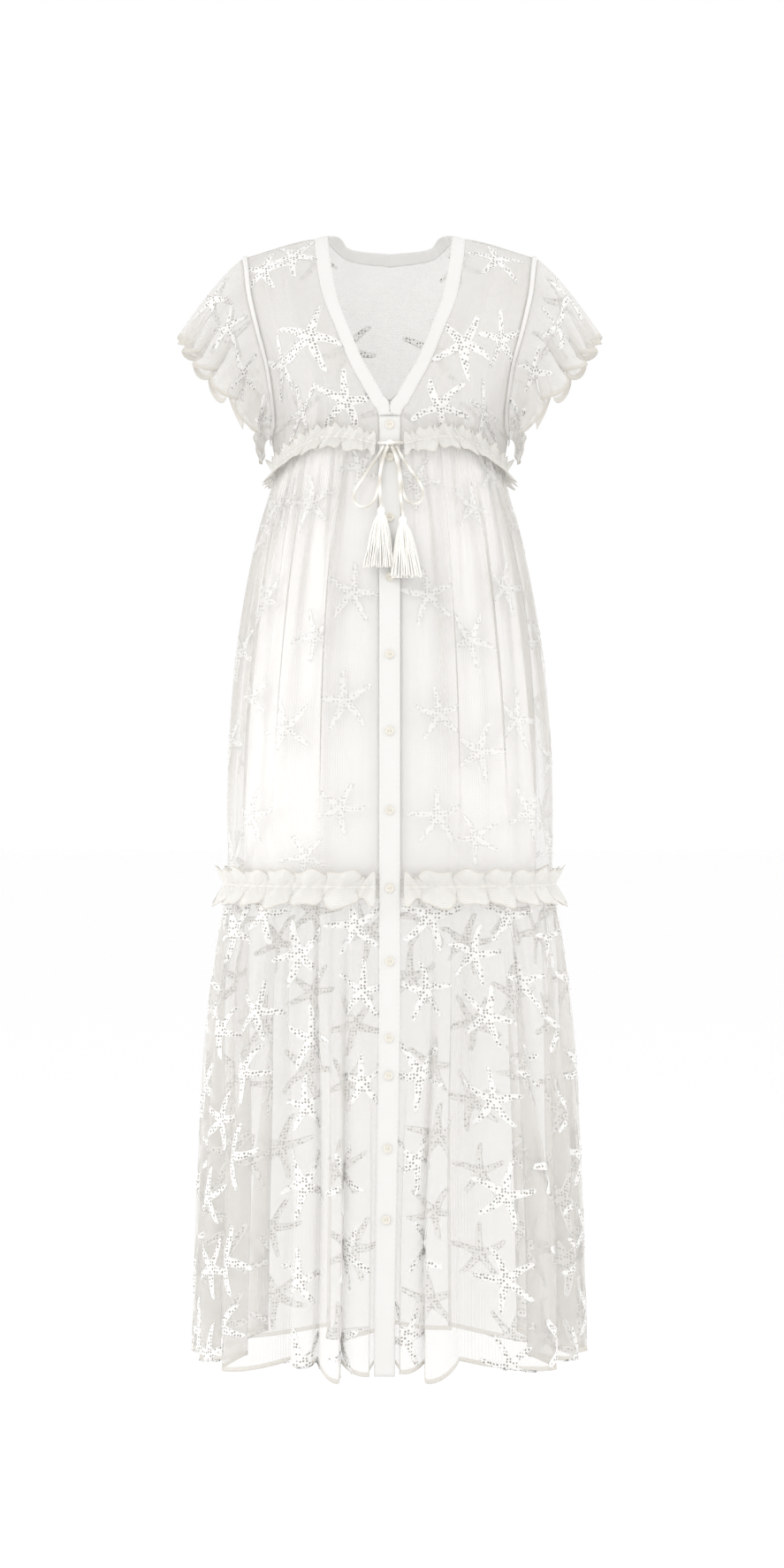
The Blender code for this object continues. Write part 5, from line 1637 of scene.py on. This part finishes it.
for panel, node in panelNodes.items():
    title = titled(panel)
    columns = gathersOf(panel, skirtCloth["upperGathers"]) * skirtCloth["upperColumns"]
    places = surfaceGrid(upperSurface(panel), columns, skirtCloth["upperRows"])
    netGrids["upperSkirt" + title] = places
    layers = np.zeros(places.shape[:2])
    layers[1:-1, :] -= 0.35  # close over the lining it hides less
    layers[0, :] += 1
    layers[-1, :] += 1
    upper = gridPiece("upperSkirt" + title, places, fromRound, layers=layers, crisp=2.4)
    finishCloth(upper, tulle, skirtCloth["wall"], ["skirt_upper_" + node])
    columns = gathersOf(panel, skirtCloth["lowerGathers"]) * skirtCloth["lowerColumns"]
    rows = skirtCloth["lowerRows"]
    shares = hemmedShares(rows, skirtCloth["hem"] / (hemDrop - tierDrop))
    places = surfaceGrid(lowerSurface(panel), columns, rows, shares)
    netGrids["lowerSkirt" + title] = places
    layers = np.zeros(places.shape[:2])
    layers[:2, :] += 1
    layers[-3:, :] += 3
    lower = gridPiece("lowerSkirt" + title, places, fromRound, layers=layers, hems=(0, 3))
    finishCloth(lower, tulle, skirtCloth["wall"], ["skirt_lower_" + node])
    places = surfaceGrid(liningSurface(panel), gathersOf(panel, liningCloth["columns"]), liningCloth["rows"])
    lining = gridPiece("lining" + title, places, fromRound)
    finishCloth(lining, voile, liningCloth["wall"], ["lining_" + node])
    stateCut(lining, places, "hung")
print("skirts ready")

# Double-edged frills, gathered along their middle

frillCloth = {
    "wall": 0.0005,
    "start": 0.0157,
    "waves": 7,  # on a front panel
    "columnsPerWave": 24,
    "rows": 20,
    "rim": 0.08,  # share of each half that is the turned edge
    "crimpsPerWave": 3,
    "crimp": 0.0009,
    "crimpAtEdge": 0.0014,
}
# for the lower and the upper edge: height from the stitched line, distance out, height of wave, scallop, curl
waistFrillEdges = ((-0.0110, 0.0060, 0.0040, 0.7, 0.22), (0.0112, 0.0036, 0.0024, 0.25, 0.08))
tierFrillEdges = ((-0.0165, 0.0064, 0.0056, 1.1, 0.26), (0.0150, 0.0054, 0.0046, 0.9, 0.24))
stitchedRow = frillCloth["rows"] // 2


def waistPlace(panel, angle, rise):
    if rise <= 0:
        return roundPoint(angle, waistDrop(angle) - rise)
    if panel == "back":
        fraction = (angle - math.pi / 2) / math.pi
    else:
        first = panelAngle("frontLeft", 0, waistSeamDrop)
        fraction = (abs(angle) - first) / (math.pi / 2 - first)
    seam, above = bodicePoint(panel, fraction, 0), bodicePoint(panel, fraction, 1)
    return bodicePoint(panel, fraction, rise / (above.z - seam.z))


def tierPlace(panel, angle, rise):
    return roundPoint(angle, tierDrop - rise)


# Both halves stand off the stitched line and swell into waves towards their edges
def frillPlaces(panel, edges, waves, placeAt, levelDrop):
    columns = gathersOf(panel, waves) * frillCloth["columnsPerWave"]
    rows = frillCloth["rows"]
    places = np.empty((rows + 1, columns + 1, 3))
    half, front, back = roundSizes(levelDrop)
    inner = [(1 - frillCloth["rim"]) * (2 * i / (rows - 4) - 1) for i in range(rows - 3)]
    levels = [-1, inner[0] - 0.01, *inner, inner[-1] + 0.01, 1]
    for i, signed in enumerate(levels):
        edge = abs(signed)
        rise, out, height, scalloped, curled = edges[0 if signed < 0 else 1]
        for j in range(columns + 1):
            turn = 2 * math.pi * j / frillCloth["columnsPerWave"] + (0.9 if signed > 0 else 0) * edge
            held = min(1, 10 * min(j, columns - j) / columns)
            uneven = 1 + 0.25 * math.sin(0.43 * turn + signed)
            wave = height * edge**0.8 * uneven * (math.cos(turn) + 0.2 * math.cos(2 * turn + 0.4))
            crimps = frillCloth["crimpsPerWave"] * turn + 0.8 * math.sin(0.37 * turn) + 2 * signed
            crimp = (frillCloth["crimp"] + frillCloth["crimpAtEdge"] * edge**2) * math.cos(crimps)
            curl = curled / gathersOf(panel, waves) * math.sin(turn) * edge * held
            angle = panelAngle(panel, j / columns + curl, levelDrop, start=frillCloth["start"])
            depth = front if math.cos(angle) > 0 else back
            normal = Vector((math.sin(angle) / half, -math.cos(angle) / depth, 0)).normalized()
            if abs(math.cos(angle)) < 0.01:
                normal.y = 0
            scallop = (scalloped * wave + crimp) * edge * (1 if signed > 0 else -1)
            off = frillClear + out * edge**1.2 + wave + crimp
            place = placeAt(panel, angle, rise * edge + scallop) + normal * off
            if panel == "back":
                place.y = max(place.y, halfGap)
            elif j == columns:
                place.y = min(place.y, -halfGap)
            places[i, j] = place
    return places


for panel, node in panelNodes.items():
    title = titled(panel)
    for name, part, table, placeAt, level in (
        ("waistFrill", "waist_ruffle_", waistFrillEdges, waistPlace, 0.27),
        ("tierFrill", "tier_ruffle_", tierFrillEdges, tierPlace, tierDrop),
    ):
        places = frillPlaces(panel, table, frillCloth["waves"], placeAt, level)
        netGrids[name + title] = places
        layers = np.zeros(places.shape[:2])
        layers[:2, :] += 3
        layers[-2:, :] += 3
        layers[stitchedRow, :] += 1.5
        frill = gridPiece(name + title, places, fromRound, layers=layers, hems=(2, 2))
        finishCloth(frill, frillNet, frillCloth["wall"], [part + node])
        stateCut(frill, places, "gathered")
        outward = fromRound(places[stitchedRow])
        stitchLines.append((places[stitchedRow] + outward * 0.0002, outward))
print("frills ready")

# Starfish: three forms of one motif, cut in embroidery and laid on the net in several sizes and turns

starfish = {
    "scale": 1.22,
    "armRows": 8,
    "columns": (-1, -0.9, -0.78, -0.45, 0, 0.45, 0.78, 0.9, 1),
    "lifts": (0.05, 1.0, 0.35, 0.45, 0.5, 0.45, 0.35, 1.0, 0.05),  # corded edge, then the flat filling
    "crotch": 0.235,  # where two arms part, as a share of an arm's length
    "rootHalf": 0.132,
    "tipHalf": 0.068,
    "arms": 5,
    "height": 0.0006,
    "offNet": 0.0002,
    "wall": 0.0012,  # it goes through the net and shows on both its faces
    "wallOverLining": 0.0003,
}


# Each arm is a grid that starts as a wedge at the middle and narrows to a round tip
def makeStar(bends):
    arms = []
    rows = starfish["armRows"]
    columns = len(starfish["columns"]) - 1
    wedge = math.pi / starfish["arms"]
    for arm in range(starfish["arms"]):
        bpy.ops.mesh.primitive_grid_add(x_subdivisions=columns, y_subdivisions=rows, size=1)
        piece = bpy.context.object
        edging = piece.data.attributes.new("edging", "FLOAT", "POINT")
        lifts = piece.data.attributes.new("lift", "FLOAT", "POINT")
        crotch, bend = starfish["crotch"], bends[arm]
        for number, vertex in enumerate(piece.data.vertices):
            j = round((vertex.co.x + 0.5) * columns)
            i = round((vertex.co.y + 0.5) * rows)
            across = starfish["columns"][j]
            s = i / rows
            if i <= 2:
                reach = crotch * i / 2
                half = reach * math.sin(wedge)
                ahead = reach * (math.cos(wedge) + (1 - math.cos(wedge)) * (1 - abs(across)) ** 0.8)
                rim = 0.0 if i < 2 else 0.5
            else:
                t = (i - 2) / (rows - 2)
                ahead = crotch + (1 - crotch) * t
                half = starfish["rootHalf"] + (starfish["tipHalf"] - starfish["rootHalf"]) * t**0.8
                if i == 3:
                    ahead -= 0.03 * abs(across)
                if i == rows:
                    half *= 0.42
                elif i == rows - 1:
                    half *= 0.95
                    ahead += 0.035
                rim = 1.0
            spin = 2 * wedge * arm + bend * s * s
            side = across * half
            vertex.co = (
                side * math.cos(spin) - ahead * math.sin(spin),
                side * math.sin(spin) + ahead * math.cos(spin),
                0,
            )
            corded = max(rim if abs(across) in (0.9, 1) else 0, 1.0 if i == rows else 0)
            edging.data[number].value = corded
            lifts.data[number].value = starfish["lifts"][j] if rim else 0.45
            if i == rows:
                lifts.data[number].value = 0.3
        arms.append(piece)
    star = joinPieces("star", arms)
    bpy.ops.object.mode_set(mode="EDIT")
    bpy.ops.mesh.select_all(action="SELECT")
    bpy.ops.mesh.remove_doubles(threshold=1e-4)
    bpy.ops.mesh.normals_make_consistent(inside=False)
    bpy.ops.object.mode_set(mode="OBJECT")
    return star


# Where each starfish lies: across, down, size across in mm, turn in degrees
starLayout = {
    "bodiceFrontRight": (
        (0.22, 0.22, 70, 12), (0.66, 0.24, 68, 64), (0.40, 0.55, 76, 33), (0.80, 0.52, 62, 5),
        (0.30, 0.86, 60, 50), (0.74, 0.84, 58, 22),
    ),
    "bodiceFrontLeft": (
        (0.28, 0.18, 66, 40), (0.72, 0.27, 70, 8), (0.34, 0.52, 74, 58), (0.78, 0.60, 66, 28),
        (0.46, 0.86, 60, 15),
    ),
    "bodiceBack": (
        (0.12, 0.30, 60, 20), (0.27, 0.14, 56, 50), (0.30, 0.55, 66, 5), (0.50, 0.30, 62, 36),
        (0.70, 0.56, 64, 44), (0.74, 0.15, 58, 14), (0.88, 0.34, 60, 60), (0.19, 0.80, 50, 30),
        (0.82, 0.82, 50, 8),
    ),
    "sleeveRight": (
        (0.06, 0.52, 54, 10), (0.17, 0.46, 50, 48), (0.28, 0.56, 50, 25), (0.40, 0.52, 46, 60),
        (0.60, 0.52, 46, 15), (0.72, 0.55, 50, 52), (0.84, 0.47, 52, 30), (0.95, 0.50, 54, 0),
    ),
    "sleeveLeft": (
        (0.05, 0.50, 54, 55), (0.16, 0.54, 50, 20), (0.28, 0.50, 50, 44), (0.40, 0.54, 46, 5),
        (0.60, 0.50, 46, 62), (0.72, 0.50, 50, 12), (0.83, 0.55, 52, 36), (0.94, 0.47, 54, 68),
    ),
}
# On the skirts they lie in staggered columns: how many columns, how many in each, size across in mm
starSpread = {
    "upperSkirtFrontRight": (4, 4, 60),
    "upperSkirtFrontLeft": (4, 4, 60),
    "upperSkirtBack": (8, 4, 60),
    "lowerSkirtFrontRight": (5, 6, 66),
    "lowerSkirtFrontLeft": (5, 6, 66),
    "lowerSkirtBack": (10, 6, 66),
}
scatter = random.Random(41)
for name, (columns, rows, size) in starSpread.items():
    starLayout[name] = [
        (
            (column + 0.5 + scatter.uniform(-0.18, 0.18)) / columns,
            (row + 0.32 + 0.36 * (column % 2) + scatter.uniform(-0.16, 0.16)) / rows,
            size * scatter.uniform(0.88, 1.08),
            scatter.uniform(0, 72),
        )
        for column in range(columns)
        for row in range(rows)
    ]


# Distance along a line from its first point to each of its points
def runAlong(line):
    return np.concatenate([[0], np.cumsum(np.linalg.norm(np.diff(line, axis=0), axis=1))])


# Where points that lie x and y metres from a middle come to lie on the cloth
def spots(grid, across, down, x, y):
    rows, columns = grid.shape[0] - 1, grid.shape[1] - 1
    steps = np.linalg.norm(np.diff(grid, axis=1), axis=2)
    reached = np.concatenate([np.zeros((rows + 1, 1)), np.cumsum(steps, axis=1)], axis=1)
    column = min(int(across * columns), columns)
    fallen = runAlong(grid[:, column])
    v = np.interp(np.interp(down * rows, range(rows + 1), fallen) + y, fallen, range(rows + 1))
    found = np.empty((len(x), 3))
    for k, level in enumerate(v):
        i = min(int(level), rows - 1)
        sides = []
        for row in (i, i + 1):
            middle = np.interp(across * columns, range(columns + 1), reached[row])
            at = np.interp(middle + x[k], reached[row], range(columns + 1))
            j = min(int(at), columns - 1)
            sides.append(grid[row, j] * (1 + j - at) + grid[row, j + 1] * (at - j))
        found[k] = sides[0] * (1 + i - level) + sides[1] * (level - i)
    return found


def layStar(template, grid, outward, across, down, sizeMm, turnDegrees):
    star = copyOf(template, "star")
    mesh = star.data
    flat = readVectors(mesh, "co")
    lifts = np.empty(len(flat), np.float32)
    mesh.attributes["lift"].data.foreach_get("value", lifts)
    radius = sizeMm * starfish["scale"] / 2000
    turn = math.radians(turnDegrees)
    x = (flat[:, 0] * math.cos(turn) - flat[:, 1] * math.sin(turn)) * radius
    y = (flat[:, 0] * math.sin(turn) + flat[:, 1] * math.cos(turn)) * radius
    places = spots(grid, across, down, x, y)
    places = places + outward(places) * (starfish["offNet"] + lifts * starfish["height"])[:, None]
    mesh.vertices.foreach_set("co", places.astype(np.float32).ravel())
    corners = np.empty(len(mesh.loops), np.int32)
    mesh.loops.foreach_get("vertex_index", corners)
    mesh.uv_layers[0].data.foreach_set("uv", np.stack([x, y], axis=1)[corners].astype(np.float32).ravel())
    mesh.update()
    if (readVectors(mesh, "normal") * outward(places)).sum() < 0:
        mesh.flip_normals()
    return star


starCuts = (
    makeStar((0.10, -0.16, 0.12, -0.06, 0.18)),
    makeStar((-0.14, 0.08, -0.18, 0.15, -0.05)),
    makeStar((0.05, 0.20, -0.08, 0.10, -0.16)),
)
for number, (name, layout) in enumerate(starLayout.items()):
    grid = netGrids[name]
    outward = fromRound if "Skirt" in name else fromBody
    if "sleeve" in name:
        side = -1 if name == "sleeveRight" else 1

        def outward(found, side=side):
            return unit(found - (side * 0.13, 0, -0.24))

    laid = [layStar(starCuts[(number + k) % 3], grid, outward, *place) for k, place in enumerate(layout)]
    stars = joinPieces("starfishOn" + titled(name), laid)
    bpy.ops.object.mode_set(mode="EDIT")
    bpy.ops.mesh.select_all(action="SELECT")
    bpy.ops.mesh.dissolve_degenerate(threshold=1e-5)  # what a seam cuts off
    bpy.ops.mesh.delete_loose(use_verts=True, use_edges=True, use_faces=False)
    bpy.ops.object.mode_set(mode="OBJECT")
    if "upperSkirt" in name:
        finishCloth(stars, faintEmbroidery, starfish["wallOverLining"], [])
    else:
        finishCloth(stars, embroidery, starfish["wall"], [])
    hung = "neckbandBack" if "bodice" in name else "bodiceBack"
    stateCut(bpy.data.objects[name], grid, "gathered" if "Skirt" in name else "hung")
for star in starCuts:
    bpy.data.objects.remove(star, do_unlink=True)
print("starfish laid")


def lineAt(lengths, line, at):
    return Vector([np.interp(at, lengths, line[:, k]) for k in range(3)])


# Stitches: short round bars along the remembered lines
def sewLines():
    bpy.ops.object.select_all(action="DESELECT")
    bpy.ops.mesh.primitive_cylinder_add(
        vertices=6, radius=bands["stitchThick"] / 2, depth=bands["stitchLength"], rotation=(0, math.pi / 2, 0)
    )
    stitch = bpy.context.object
    bpy.ops.object.transform_apply(location=True, rotation=True, scale=True)
    made = []
    for line, normals in stitchLines:
        lengths = runAlong(line)
        count = int(lengths[-1] / bands["stitchPitch"])
        for number in range(count):
            at = (number + 0.5) * bands["stitchPitch"]
            place = lineAt(lengths, line, at)
            up = lineAt(lengths, normals, at).normalized()
            along = (lineAt(lengths, line, at + 0.001) - lineAt(lengths, line, at - 0.001)).normalized()
            across = up.cross(along).normalized()
            turned = Matrix((along, across, along.cross(across))).transposed().to_4x4()
            copy = copyOf(stitch, "stitch")
            copy.data.transform(Matrix.Translation(place + up * 0.0001) @ turned)
            made.append(copy)
    bpy.data.objects.remove(stitch, do_unlink=True)
    sewn = joinPieces("edgeStitching", made)
    sewn.data.materials.clear()
    sewn.data.materials.append(sewingThread)
    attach(sewn, "root")
    print(len(made), "stitches")


sewLines()
